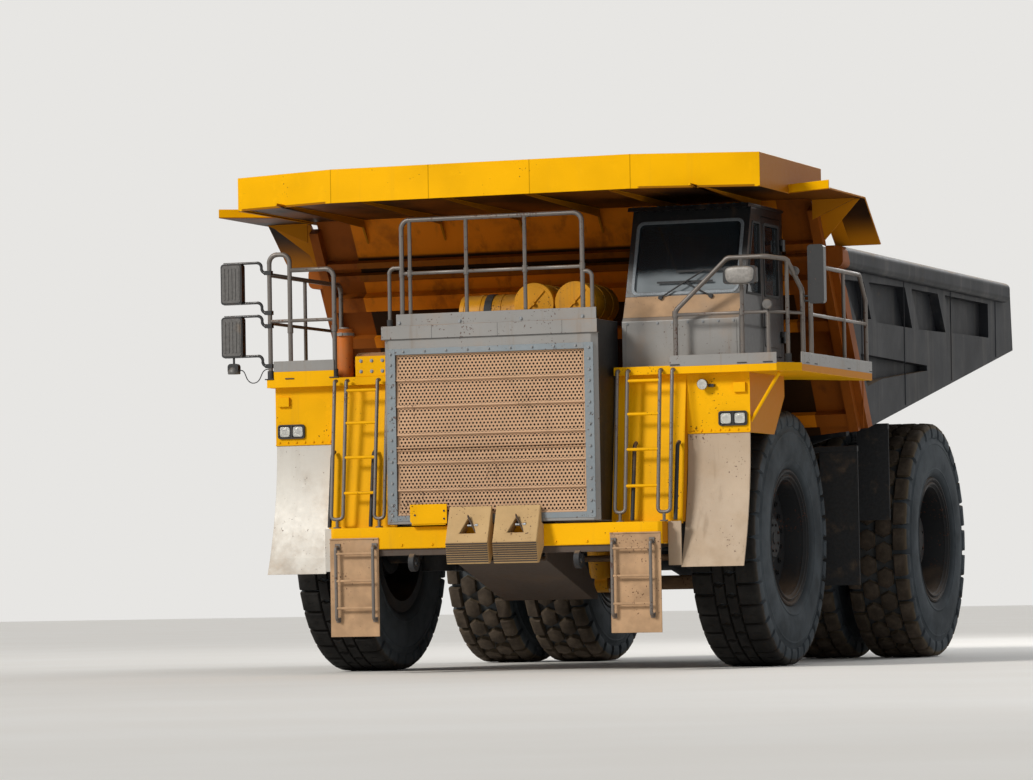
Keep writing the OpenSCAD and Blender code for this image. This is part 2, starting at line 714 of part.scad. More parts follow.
module headlamps() {
    color(pale) truck_frame() both_sides() {
        for (x = [lamp_x[0] + 78, lamp_x[1] - 78]) translate([x, cabinet_y - 30, lamp_z])
            rotate([-90, 0, 0]) cylinder(h = 30, r = 58);
        difference() {
            along(cabinet_y - 18, cabinet_y) rounded_box(lamp_x[0], lamp_z - 75, lamp_x[1],
                lamp_z + 75, 25);
            along(cabinet_y - 19, cabinet_y - 8) rounded_box(lamp_x[0] + 14, lamp_z - 61, lamp_x[1] - 14,
                lamp_z + 61, 20);
        }
    }
}
// Aprons: curved plates below the cabinets
apron_out = 2600;
apron_z = 1040;
apron_y = -1900;
apron_t = 20;
apron_steps = 8;
function apron_at(t, d) = [cabinet_y + d - (cabinet_y - apron_y)
    * t * t, cabinet_z + t * (apron_z - cabinet_z)];
module aprons() {
    color(pale) truck_frame() both_sides() {
        across(apron_in, apron_out) polygon(concat(
            [for (i = [0:apron_steps]) apron_at(i / apron_steps, 0)],
            [for (i = [apron_steps:-1:0]) apron_at(i / apron_steps, apron_t)]));
        // Strip that ties the apron's foot to the bumper's end
        block([bumper_half, apron_y, apron_z + 20], [apron_in + 5, apron_y + 20, bumper_top]);
    }
}

// Deck, rails and mirrors

deck_cut_x = walkway_x - 180;
walkway_back = deck_back + 780;
board_t = 12;
module deck() {
    color(yellow) truck_frame() {
        upright(deck_under, deck_z) {
            // Main plate over the engine, then the left and right fronts
            polygon([[-right_deck_x, deck_y + 50], [-radiator_half - 40, deck_y + 50],
                [-radiator_half - 40, radiator_back + 5],
                [radiator_half + 40, radiator_back + 5], [radiator_half + 40, deck_y],
                [deck_cut_x, deck_y], [walkway_x, deck_y + 290],
                [walkway_x, walkway_back], [walkway_x - 90, walkway_back], [cab_out - 20, deck_back],
                [-right_deck_x, deck_back]]);
        }
        // Toe boards
        block([step_out + 10, deck_y, deck_z - 5], [deck_cut_x, deck_y + board_t, deck_z + 100]);
        block([walkway_x - board_t, deck_y + 300, deck_z - 5], [walkway_x, walkway_back, deck_z + 110]);
        block([-right_deck_x + 80, deck_y + 50, deck_z - 5],
            [-cabinet_in, deck_y + 50 + board_t, deck_z + 190]);
        // Posts that stand on the rails
        both_sides() for (y = [engine_front - 20, 150])
            block([rail_out - 120, y, rail_top_z + seat_gap], [rail_out, y + 130, deck_under + 5]);
    }
}
rail_r = 24;
post_r = 20;
rail_bend = 90;
front_rail_y = radiator_y + 52;
cage_y = deck_y + 90;
cage_x = right_deck_x - 30;
cage_back = deck_back - 40;
walk_y = deck_y + 40;
walk_x = walkway_x - 45;
module rail(points) { pipe(points, rail_r, rail_bend); }
// Posts at a list of places, and a bar between two points, let into the rails they meet
module posts(places, low, high) { for (p = places) bar([p[0], p[1], low], [p[0], p[1], high], post_r); }
module guard_rails() {
    color(steel) truck_frame() {
        front_rails(radiator_top + seat_gap);
        cage_rails(deck_z + seat_gap);
        walkway_rails(deck_z + seat_gap);
    }
}
// Guard rail on the radiator
module front_rails(foot) {
    rail([[-960, front_rail_y, foot], [-960, front_rail_y, 4660], [1010, front_rail_y, 4660],
        [1010, front_rail_y, foot]]);
    posts([[-870, front_rail_y], [-250, front_rail_y], [390, front_rail_y]], foot, 4655);
    bar([-960, front_rail_y, 4110], [1010, front_rail_y, 4110], post_r - 2);
    pipe([[-1100, front_rail_y, foot], [-1100, front_rail_y, 4170], [-950, front_rail_y, 4170]],
        post_r, 60);
    pipe([[1000, front_rail_y, 4060], [1110, front_rail_y, 4060], [1110, front_rail_y, foot]], post_r, 60);
}
// Cage on the right deck
module cage_rails(foot) {
    rail([[-1900, cage_y, foot], [-1900, cage_y, 4230], [-2385, cage_y, 4230]]);
    rail([[-2400, cage_y, foot], [-2400, cage_y, 4400], [-cage_x, cage_y, 4400], [-cage_x, cage_y, foot]]);
    bar([-1900, cage_y, 3700], [-cage_x, cage_y, 3700], post_r - 2);
    rail([[-cage_x, cage_y + 10, 4190], [-cage_x, cage_back, 4190], [-cage_x, cage_back, foot]]);
    bar([-cage_x, cage_y, 3680], [-cage_x, cage_back, 3680], post_r - 3);
    posts([[-cage_x, -700]], foot, 4185);
}
// Rails round the walkway by the cab: the front one follows the deck's cut corner
front_post_x = 2576;
side_leg_y = deck_y + 500;
module walkway_rails(foot) {
    corner = [2985, deck_y + 270];
    side = [walk_x, side_leg_y];
    rail([[1865, walk_y, foot], [1865, walk_y, 3640], [2430, walk_y, 4160], [2830, walk_y, 4160],
        [corner[0], corner[1], 4140], [side[0], side[1], 3830], [side[0], side[1], foot]]);
    posts([[front_post_x, walk_y]], foot, 4155);
    bar([1865, walk_y, 3600], [2850, walk_y, 3600], post_r - 2);
    bar([2850, walk_y, 3600], [side[0], side[1], 3600], post_r - 3);
    posts([[2850, walk_y]], foot, 3600);
    posts([corner], foot, 4135);
    rail([[walk_x, -960, foot], [walk_x, -960, 3850], [walk_x, -700, 4110], [walk_x, 860, 4110],
        [walk_x, 1080, 3850], [walk_x, 1080, foot]]);
    posts([[walk_x, 250]], foot, 4105);
    bar([walk_x, -960, 3600], [walk_x, 1080, 3600], post_r - 2);
}
module mirror_head(w, h, d) {
    along(0, d) rounded_box(-w / 2, -h / 2, w / 2, h / 2, 35);
}
mirror_x = -3050;
mast_y = cage_y;
arm_r = 14;
stub_r = 12;
module mirrors() {
    color(black) truck_frame() {
        // Twin heads on the right, each between two bent arms from the cage's post
        for (z = [3545, 4105]) {
            translate([mirror_x, mast_y - 45, z]) mirror_head(240, 430, 90);
            for (arm_z = [z - 203, z + 218]) pipe([[mirror_x - 100, mast_y, arm_z],
                [-cage_x - 90, mast_y, arm_z], [-cage_x - 90, mast_y, arm_z - 110],
                [-cage_x - rail_r - seat_gap, mast_y, arm_z - 110]], arm_r, 50);
        }
        // Lamp below the lower head
        bar([mirror_x, mast_y, 3200], [mirror_x, mast_y, 3340], stub_r);
        translate([mirror_x, mast_y - 35, 3215]) mirror_head(120, 110, 70);
        // Wide head before the walkway's front rail
        translate([front_post_x + 14, walk_y - 115, 3975]) mirror_head(350, 180, 70);
        bar([front_post_x, walk_y - post_r - seat_gap, 3975], [front_post_x, walk_y - 50, 3975], stub_r);
        // Tall head outboard of the walkway's side rail
        translate([walk_x + 160, side_leg_y - 45, 3990]) mirror_head(170, 600, 90);
        for (z = [3720, 3770])
            bar([walk_x + rail_r + seat_gap, side_leg_y, z], [walk_x + 90, side_leg_y, z], stub_r);
    }
}
module air_cleaners() {
    color(yellow) truck_frame() {
        // Filter drums behind the radiator: X of the middle
        for (x = [190, 640]) {
            translate([x, -1300, 3800]) rotate([-90, 0, 0]) cylinder(h = 800, r = 210);
            block([x - 60, -1150, deck_z], [x + 60, -1050, 3620]);
        }
        // Drum that lies across the truck
        pin_x(-700, -60, -950, 3720, 210);
        block([-420, -1000, deck_z], [-320, -900, 3540]);
        // Upright canister, duct and bracket by the radiator's right side
        translate([-1890, -1420, deck_z]) cylinder(h = 520, r = 92);
        translate([-1890, -1420, deck_z + 440]) cylinder(h = 45, r = 104);
        pin_x(-1760, -radiator_half - 10, -1330, deck_z + 140, 130);
        block([-1500, -1390, deck_z], [-1400, -1270, deck_z + 60]);
        block([-1665, deck_y + 70, deck_z], [-radiator_half - 10, deck_y + 160, deck_z + 215]);
    }
}

// Cab

cowl_top = 3560;
cab_floor = deck_z;
module cowl() {
    color(steel) truck_frame() {
        // Box in front of the cab, and the sloped cowl above it
        across(cab_in, cab_out - 10) polygon([[-1540, deck_z], [-1540, cowl_top], [-1500, 3600],
            [screen_low[0] - 8, 3815],
            [screen_low[0] - 8, deck_z]]);
    }
}
screen_low = [-1400, deck_z + 735];
screen_high = [-1130, cab_top - 130];
cab_back = -20;
// Heights of the windows' lower and upper edges
sill_z = deck_z + 755;
head_z = cab_top - 190;
function screen_at(z) = screen_low[0] + (z - screen_low[1]) * (screen_high[0] - screen_low[0])
    / (screen_high[1] - screen_low[1]);
module cab_outline(inset) {
    polygon([[screen_low[0] + inset, cab_floor + inset], [screen_low[0] + inset, screen_low[1]],
        [screen_at(cab_top - inset) + inset * 1.06, cab_top - inset], [cab_back - inset, cab_top - inset],
        [cab_back - inset, cab_floor + inset]]);
}
door_back = -110;
door_front = door_back - door_w;
door_low = cab_floor + 130;
door_high = cab_top - 110;
module cab() {
    color(black) truck_frame() {
        difference() {
            across(cab_in, cab_out) cab_outline(0);
            across(cab_in + cab_wall, cab_out - cab_wall) cab_outline(cab_wall);
            // Doorway
            across(cab_out - cab_wall - 1, cab_out + 1)
                polygon([[door_front - pass_gap, door_low - pass_gap],
                [door_front - pass_gap, door_high + pass_gap], [door_back + pass_gap, door_high + pass_gap],
                [door_back + pass_gap, door_low - pass_gap]]);
            // Front quarter window on the left, and the window on the right
            across(cab_out - cab_wall - 1, cab_out + 1) quarter_window(0);
            across(cab_in - 1, cab_in + cab_wall + 1) side_window(0);
            // Windscreen and rear window
            along(screen_low[0] - 60, -1000) screen_outline(0);
            along(cab_back - cab_wall - 1, cab_back + 1) rear_window(0);
        }
        // Sun visor over the windscreen
        across(cab_in - 10, cab_out + 20) polygon([[screen_at(cab_top) - 170, cab_top - 40],
            [screen_at(cab_top) - 150, cab_top + 5],
            [cab_back, cab_top + 5], [cab_back, cab_top - 5], [screen_at(cab_top) - 20, cab_top - 25]]);
        // Hinge knuckles of the door
        for (z = hinge_z) translate([hinge_x, hinge_y, z - 60]) {
            cylinder(h = 60 - turn_gap, r = 26);
            translate([-45, 0, 0]) cube([45, 60, 60 - turn_gap]);
            cylinder(h = 115, r = hinge_pin_r);
        }
    }
}
module quarter_window(g) {
    polygon([[screen_at(sill_z) + 105 + g, sill_z + g], [screen_at(head_z) + 110 + g, head_z - g],
        [door_front - 80 - g, head_z - g], [door_front - 80 - g, sill_z + g]]);
}
module side_window(g) {
    polygon([[screen_at(sill_z) + 105 + g, sill_z + g], [screen_at(head_z) + 110 + g, head_z - g],
        [cab_back - 130 - g, head_z - g], [cab_back - 130 - g, sill_z + g]]);
}
module screen_outline(g) {
    rounded_box(cab_in + 75 + g, sill_z + 10 + g, cab_out - 75 - g, head_z + 30 - g, 60);
}
module rear_window(g) {
    rounded_box(cab_in + 200 + g, sill_z + 110 + g, cab_out - 200 - g, head_z - 40 - g, 60);
}
pane_t = 12;
module cab_glass() {
    color(glass) truck_frame() {
        inset = cab_wall / 2 - pane_t / 2;
        intersection() {
            along(screen_low[0] - 60, -1000) screen_outline(0.5);
            across(cab_in, cab_out) polygon([for (p = [[0, sill_z - 140], [0, head_z + 140],
                [pane_t, head_z + 140], [pane_t, sill_z - 140]]) [screen_at(p[1]) + inset + p[0], p[1]]]);
        }
        across(cab_out - inset - pane_t, cab_out - inset) quarter_window(0.5);
        across(cab_in + inset, cab_in + inset + pane_t) side_window(0.5);
        along(cab_back - inset - pane_t, cab_back - inset) rear_window(0.5);
    }
}
seat_x = (cab_in + cab_out) / 2;
module seat() {
    color(black) truck_frame() translate([seat_x, -560, cab_floor + cab_wall]) {
        cylinder(h = 320, r = 110);
        along(-260, 260) rounded_box(-270, 300, 270, 430, 60);
        across(-250, 250) polygon([[200, 400], [300, 400], [370, 1080], [280, 1100]]);
        across(-140, 140) polygon([[285, 1090], [365, 1075], [375, 1250], [310, 1255]]);
    }
}
module dashboard() {
    color(black) truck_frame() {
        across(cab_in + cab_wall + 20, cab_out - cab_wall - 20)
            polygon([[screen_low[0] + cab_wall, cab_floor + cab_wall],
            [screen_low[0] + cab_wall, 3780], [screen_low[0] + 200, 3760], [screen_low[0] + 260, 3600],
            [screen_low[0] + 120, cab_floor + cab_wall]]);
        // Steering column and wheel
        bar([seat_x, screen_low[0] + 200, 3560], [seat_x, screen_low[0] + 420, 3760], 40);
        translate([seat_x, screen_low[0] + 420, 3760]) rotate([-47, 0, 0]) rotate_extrude() {
            translate([200, 0]) circle(r = 16, $fn = 16);
            translate([0, -8]) square([202, 14]);
        }
    }
}
// Door on the walkway side, hinged at its rear edge
hinge_off = 28;
hinge_set = 22;
hinge_x = cab_out + hinge_off;
hinge_y = door_back + hinge_set;
hinge_pin_r = 12;
hinge_z = [door_low + 205, door_high - 260];
module door_pane(g) {
    polygon([[door_front + 80 + g, sill_z + g], [door_front + 80 + g, head_z - g],
        [door_back - 80 - g, head_z - g], [door_back - 80 - g, sill_z + g]]);
}
module cab_door() {
    color(black) truck_frame() {
        across(cab_out - cab_wall, cab_out) difference() {
            polygon([[door_front, door_low], [door_front, door_high], [door_back, door_high],
                [door_back, door_low]]);
            door_pane(0);
        }
        for (z = hinge_z) translate([hinge_x, hinge_y, z + turn_gap]) difference() {
            union() {
                cylinder(h = 60, r = 26);
                // Leaf outside the wall, let into the door at its root
                translate([seat_gap - hinge_off, -60, 0]) cube([hinge_off - seat_gap, 60, 60]);
                translate([-hinge_off - 12, -60, 0]) cube([hinge_off + 12, 58 - hinge_set, 60]);
            }
            translate([0, 0, -1]) cylinder(h = 62, r = hinge_pin_r + turn_gap);
        }
        // Pull handle
        bar([cab_out - 5, door_front + 60, 3500], [cab_out + 45, door_front + 60, 3500], 9);
        bar([cab_out - 5, door_front + 60, 3720], [cab_out + 45, door_front + 60, 3720], 9);
        bar([cab_out + 40, door_front + 60, 3480], [cab_out + 40, door_front + 60, 3740], 11);
    }
}
module door_glass() {
    color(glass) truck_frame() across(cab_out - cab_wall / 2 - pane_t / 2,
        cab_out - cab_wall / 2 + pane_t / 2) door_pane(0.5);
}
// Flaps: station, inner edge, outer edge, low edge, high edge
flaps = [[1700, 2350, 2780, 830, 2290], [wheelbase - 2150, 2460, 2820, 1540, 2560]];
module mud_flaps() {
    color(dark) truck_frame() both_sides() for (f = flaps) {
        root_z = rail_top_at(f[0]) - 240;
        along(f[0] - 30, f[0] + 30) polygon([[rail_out, root_z], [f[1], f[4] - 20], [f[2], f[4] - 20],
            [f[2], f[4] + 40],
            [f[1], f[4] + 40], [rail_out, root_z + 200]]);
        along(f[0] - 10, f[0] + 10) polygon([[f[1], f[3]], [f[2], f[3]], [f[2], f[4]], [f[1], f[4]]]);
    }
}

// Dump body

side_plate_in = 2780;
side_plate_t = 60;
front_angle = atan(front_reach / (canopy_z - 50 - floor_z));
function front_at(z) = floor_y - (z - floor_z) * tan(front_angle);
tail_z = floor_z + floor_rise;
module at_floor() { translate([0, floor_y, floor_z]) rotate([floor_angle, 0, 0]) children(); }
module at_front_wall() { translate([0, floor_y, floor_z]) rotate([front_angle, 0, 0]) children(); }
front_len = norm([front_reach, canopy_z - 50 - floor_z]);
module side_outline() {
    polygon([[floor_y, floor_z], [tail_y, tail_z], [tail_top_y, side_top - 50],
        [tail_top_y - 350, side_top - 20],
        [front_at(side_top - 20), side_top - 20]]);
}
// Recesses between the side frames; each is a list of (station, height)
side_recesses = [
    [[700, 4060], [1480, 4080], [1740, 3690], [1180, 3640]],
    [[1680, 4085], [3130, 4110], [3400, 3670], [1940, 3665]],
    [[3400, 4110], [4520, 4115], [4830, 3690], [3680, 3670]],
    [[4830, 4118], [6780, 4120], [6780, 3720], [5130, 3700]],
    [[1300, 3300], [1980, 3300], [3990, 3280], [3990, 3220], [2130, 3060], [1560, 2960], [1420, 3050]]];
// Length along the floor at which its lowest edge stands above the tail
floor_len = (tail_y - 5 - floor_y - floor_vee * sin(floor_angle)) / cos(floor_angle);
vee_half = body_half - 20;
// Ribs under the floor end where the sides hide them
rib_half = body_half - 350;
module vee_floor(lift, thick, y0, y1, half) {
    edge = lift - (body_half - half) * floor_vee / body_half;
    along(y0, y1) polygon([[-half, edge], [0, lift - floor_vee], [half, edge],
        [half, edge + thick], [0, lift + thick - floor_vee], [-half, edge + thick]]);
}
// The front wall ends just below the canopy's plate
canopy_lift = 25;
wall_high = canopy_z + canopy_lift - seat_gap;
module dump_tub() {
    color(dark) truck_frame() difference() {
        union() {
            at_floor() vee_floor(0, floor_t, 20, floor_len, vee_half);
            both_sides() {
                across(side_plate_in, side_plate_in + side_plate_t) side_outline();
                across(side_plate_in + side_plate_t - 5, body_half) difference() {
                    side_outline();
                    for (r = side_recesses) polygon(r);
                }
                // Round-edged rail along the top
                along(front_at(side_top) + 30, tail_top_y - 350)
                    rounded_box(side_plate_in, side_top - 230, body_half + 90, side_top, 70);
            }
            // Front wall
            across(-side_plate_in - 20, side_plate_in + 20) polygon([[front_at(wall_high), wall_high],
                [front_at(wall_high) + 90, wall_high], [front_at(2100) + 90, 2100],
                [front_at(2100), 2100]]);
            // Stiffeners across the front wall: height along the wall, height, depth
            at_front_wall() for (s = [[80, 150, 90], [700, 120, 90], [1250, 120, 90], [1720, 170, 120],
                [2080, 70, 80], [2230, 70, 80]])
                block([-side_plate_in, -s[2], s[0]], [side_plate_in, 5, s[0] + s[1]]);
            both_sides() at_front_wall() block([side_plate_in - 10, -105, 0],
                [body_half - 80, 5, front_len]);
            // Lengthwise beams under the floor, with lugs down to the pivot
            both_sides() {
                along_beam();
                across(rail_out + 12, rail_out + 82) {
                    translate([pivot_y, pivot_z]) circle(r = 150);
                    polygon([[pivot_y - 150, pivot_z], [pivot_y + 150, pivot_z],
                        [pivot_y + 260, floor_at(pivot_y + 260, rail_out) + 10],
                        [pivot_y - 300, floor_at(pivot_y - 300, rail_out) + 10]]);
                }
                // Ears of the hoist's upper pin
                for (x = [hoist_x - hoist_eye_w / 2 - 50, hoist_x + hoist_eye_w / 2 + 10])
                    across(x, x + 40) {
                    translate([hoist_high_y, hoist_high_z]) circle(r = 110);
                    polygon([[hoist_high_y - 110, hoist_high_z], [hoist_high_y + 110, hoist_high_z],
                        [hoist_high_y + 220, floor_at(hoist_high_y + 220, hoist_x) + 10],
                        [hoist_high_y - 220, floor_at(hoist_high_y - 220, hoist_x) + 10]]);
                }
            }
            // Ribs across the underside: distance along the floor
            at_floor() for (y = [350, 1000, 2450, 3100, floor_len - 1000, floor_len - 450])
                vee_floor(-95, 100, y, y + 110, rib_half);
        }
        // What the sloping walls leave below the floor
        at_floor() along(-900, 300) polygon([[-body_half - 60, -900], [body_half + 60, -900],
            [body_half + 60, -3], [0, -floor_vee - 3], [-body_half - 60, -3]]);
        both_sides() pin_x(rail_out + 11, rail_out + 83, pivot_y, pivot_z, pivot_pin_r + turn_gap);
    }
}
hoist_high_z = floor_at(hoist_high_y, hoist_x) - hoist_drop;
module along_beam() {
    across(rail_out - rail_w, rail_out) polygon([
        [floor_y + 300, floor_at(floor_y + 300, rail_mid) + 10],
            [floor_y + 300, floor_at(floor_y + 300, rail_mid) - beam_depth],
        [pivot_y + 300, floor_at(pivot_y + 300, rail_mid) - beam_depth],
            [tail_y - 500, floor_at(tail_y - 500, rail_mid) - 40],
        [tail_y - 500, floor_at(tail_y - 500, rail_mid) + 10]]);
}
canopy_t = 30;
chamfer_turn = atan((canopy_corner_y - canopy_y) / (canopy_half - canopy_front_half));
module canopy_plan(inset, back) {
    fx = canopy_front_half - inset * tan(chamfer_turn / 2);
    cy = canopy_corner_y + inset * tan((90 - chamfer_turn) / 2);
    polygon([[-fx, canopy_y + inset], [fx, canopy_y + inset], [canopy_half - inset, cy],
        [canopy_half - inset, back],
        [-canopy_half + inset, back], [-canopy_half + inset, cy]]);
}
canopy_ribs = [-2250, -1350, -450, 450, 1350, 2250];
canopy_back = front_at(canopy_z);
wing_front_y = -920;
module canopy() {
    color(yellow) truck_frame() {
        upright(canopy_z + canopy_lift, canopy_z + canopy_lift + canopy_t)
            canopy_plan(0, canopy_back + 120);
        upright(canopy_z, canopy_z + canopy_h) difference() {
            canopy_plan(0, 250);
            canopy_plan(25, 300);
        }
        // Ribs under the plate, ending in gussets on the front wall
        for (x = canopy_ribs) across(x - 12, x + 12) polygon([[canopy_y + 10, canopy_z + 30],
            [canopy_y + 10, canopy_z + 5], [cab_back + 60, canopy_z - 60],
            [front_at(canopy_z - 230) - 20, canopy_z - 230], [front_at(canopy_z) - 20, canopy_z + 30]]);
        // Side wings: plate, lip and outer drop
        both_sides() {
            upright(canopy_z, canopy_z + 20) polygon([[canopy_half - 10, wing_front_y], [wing_x, -1250],
                [wing_x, 80], [canopy_half - 10, 80]]);
            upright(canopy_z, canopy_z + 95) polygon([[canopy_half - 10, wing_front_y - 6],
                [wing_x, -1256], [wing_x, -1236], [canopy_half - 10, wing_front_y + 14]]);
            across(canopy_half + 190, wing_x) polygon([[80, canopy_z], [80, canopy_z + 20],
                [100, canopy_z + 20], [670, canopy_z - 435], [650, canopy_z - 445]]);
            along(-80, -60) polygon([[canopy_half - 10, canopy_z + 5], [wing_x - 40, canopy_z + 5],
                [canopy_half - 10, canopy_z - 210]]);
        }
    }
}

// Hoist cylinders: a barrel, a sleeve and a rod on one line, drawn retracted

hoist_run = [0, hoist_high_y - hoist_low_y, hoist_high_z - hoist_low_z];
hoist_len = norm(hoist_run);
hoist_tilt = atan2(-hoist_run[1], hoist_run[2]);
hoist_sleeve_r = hoist_r - 28;
hoist_rod_r = hoist_sleeve_r - 27;
hoist_eye_r = 100;
// The rod ends in a neck as wide as its eye, and stays below the ears over the whole stroke
rod_neck = 160;
module on_hoist() {
    translate([hoist_x, hoist_low_y, hoist_low_z]) rotate([hoist_tilt, 0, 0]) children();
}
barrel_low = 95;
barrel_high = hoist_len - rod_neck - 30;
module hoist_barrels() {
    color(yellow) truck_frame() both_sides() on_hoist() difference() {
        union() {
            pin_x(-hoist_eye_w / 2, hoist_eye_w / 2, 0, 0, hoist_eye_r);
            translate([0, 0, barrel_low]) cylinder(h = barrel_high - barrel_low, r = hoist_r);
            translate([0, 0, barrel_high - 70]) cylinder(h = 70, r = hoist_r + 14);
            translate([-hoist_eye_w / 2, -80, 0]) cube([hoist_eye_w, 160, barrel_low + 20]);
        }
        pin_x(-hoist_eye_w / 2 - 1, hoist_eye_w / 2 + 1, 0, 0, hoist_pin_r + turn_gap);
        translate([0, 0, barrel_low + 60]) cylinder(h = hoist_len, r = hoist_sleeve_r + turn_gap);
    }
}
module hoist_sleeves() {
    color(pale) truck_frame() both_sides() on_hoist() difference() {
        translate([0, 0, barrel_low + 64]) cylinder(h = barrel_high + 18 - barrel_low - 64,
            r = hoist_sleeve_r);
        translate([0, 0, barrel_low + 100]) cylinder(h = hoist_len, r = hoist_rod_r + turn_gap);
    }
}
module hoist_rods() {
    color(pale) truck_frame() both_sides() on_hoist() {
        translate([0, 0, barrel_low + 104])
            cylinder(h = hoist_len - barrel_low - 104 - rod_neck, r = hoist_rod_r);
        difference() {
            union() {
                translate([0, 0, hoist_len]) pin_x(-hoist_eye_w / 2, hoist_eye_w / 2, 0, 0, hoist_eye_r);
                translate([-hoist_eye_w / 2, -80, hoist_len - rod_neck - 5])
                    cube([hoist_eye_w, 160, rod_neck - 50]);
            }
            translate([0, 0, hoist_len]) pin_x(-hoist_eye_w / 2 - 1, hoist_eye_w / 2 + 1, 0, 0,
                hoist_pin_r);
        }
    }
}

frame();
front_struts();
rear_axle();
rear_struts();
engine();
driveline();
tanks();
radiator();
grille();
bumper();
belly_guard();
wheel_chocks();
access_steps();
ladders();
cabinets();
headlamps();
aprons();
deck();
guard_rails();
mirrors();
air_cleaners();
cowl();
cab();
cab_glass();
seat();
dashboard();
mud_flaps();
cab_door();
door_glass();
knuckle_left();
knuckle_right();
tie_rod();
tyre_front_left();
rim_front_left();
tyre_front_right();
rim_front_right();
tyres_rear_left();
rims_rear_left();
tyres_rear_right();
rims_rear_right();
dump_tub();
canopy();
hoist_barrels();
hoist_sleeves();
hoist_rods();
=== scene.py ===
"""Looks of a rigid mining dump truck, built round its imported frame.

Metres. X runs to the truck's left, Y rearwards, Z up. A place along the truck is written as a
station, its distance behind the front axle, and station() turns it into Y.
"""
import logging
import math
from dataclasses import dataclass
from enum import Enum
from functools import cache
from typing import Any, Callable, Iterable, Mapping, Sequence

import bmesh
import bpy
from mathutils import Matrix, Vector


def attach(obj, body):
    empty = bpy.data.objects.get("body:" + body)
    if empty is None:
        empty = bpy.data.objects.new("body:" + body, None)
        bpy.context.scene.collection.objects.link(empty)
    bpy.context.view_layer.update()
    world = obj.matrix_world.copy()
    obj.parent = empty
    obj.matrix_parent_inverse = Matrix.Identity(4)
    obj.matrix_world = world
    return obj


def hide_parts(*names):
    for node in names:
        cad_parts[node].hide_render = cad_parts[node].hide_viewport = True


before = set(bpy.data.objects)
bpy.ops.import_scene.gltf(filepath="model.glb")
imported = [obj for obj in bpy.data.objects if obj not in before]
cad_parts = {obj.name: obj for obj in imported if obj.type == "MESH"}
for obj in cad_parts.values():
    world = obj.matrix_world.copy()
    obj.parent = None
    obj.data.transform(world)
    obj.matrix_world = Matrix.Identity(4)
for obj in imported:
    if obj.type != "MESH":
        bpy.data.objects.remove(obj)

log = logging.getLogger("dump_truck")

Point = tuple[float, float, float]
Flat = tuple[float, float]
Colour = tuple[float, float, float]

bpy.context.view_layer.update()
FRONT_AXLE_Y = -2.785
WHEELBASE = 4.95
AXLE_Z = 1.3346
SIDES = {1: "left", -1: "right"}


def station(distance: float) -> float:
    """Y of a place that lies a distance behind the front axle."""
    return FRONT_AXLE_Y + distance


def srgb(code: str) -> Colour:
    """Linear colour of a six-figure hex code."""
    parts = [int(code[i:i + 2], 16) / 255 for i in (0, 2, 4)]
    return tuple(p / 12.92 if p <= 0.04045 else ((p + 0.055) / 1.055) ** 2.4 for p in parts)


def shade(colour: Colour, share: float) -> Colour:
    """Darker or lighter tone of a colour."""
    return tuple(min(1.0, c * share) for c in colour)


def turns(count: int) -> list[float]:
    """Angles of places spread evenly over a full turn."""
    return [2 * math.pi * k / count for k in range(count)]


def squircle(turn: float, power: float) -> Flat:
    """Point at an angle on a square with round corners that reaches 1."""
    return tuple(math.copysign(abs(part) ** power, part) for part in (math.cos(turn), math.sin(turn)))


def skin(rings: int, count: int) -> list[tuple[int, ...]]:
    """Faces over rings of the same number of points, shut at both ends."""
    faces = [(r * count + k, r * count + (k + 1) % count, (r + 1) * count + (k + 1) % count,
              (r + 1) * count + k)
             for r in range(rings - 1) for k in range(count)]
    return [*faces, tuple(range(count))[::-1], tuple((rings - 1) * count + k for k in range(count))]


def placed(name: str, data: Any, matrix: Matrix | None = None) -> bpy.types.Object:
    """New object in the scene."""
    obj = bpy.data.objects.new(name, data)
    if matrix is not None:
        obj.matrix_world = matrix
    bpy.context.scene.collection.objects.link(obj)
    return obj


class Axis(Enum):
    """Direction along which an outline is drawn out."""

    X = 0
    Y = 1
    Z = 2

    def lift(self, flat: Flat, along: float) -> Point:
        """Point of an outline at a distance along the axis."""
        u, v = flat
        return {Axis.X: (along, u, v), Axis.Y: (u, along, v), Axis.Z: (u, v, along)}[self]


class Body(Enum):
    """Moving bodies of the frame that the dressed pieces ride on."""

    CHASSIS = "chassis"
    DOOR = "cab_door"
    DUMP = "dump_body"
    KNUCKLE_LEFT = "knuckle_left"
    KNUCKLE_RIGHT = "knuckle_right"
    TIE_ROD = "tie_rod"
    FRONT_LEFT = "wheel_front_left"
    FRONT_RIGHT = "wheel_front_right"
    REAR_LEFT = "wheels_rear_left"
    REAR_RIGHT = "wheels_rear_right"
    BARRELS = "hoist_barrels"
    SLEEVES = "hoist_sleeves"
    RODS = "hoist_rods"


# Shader maths


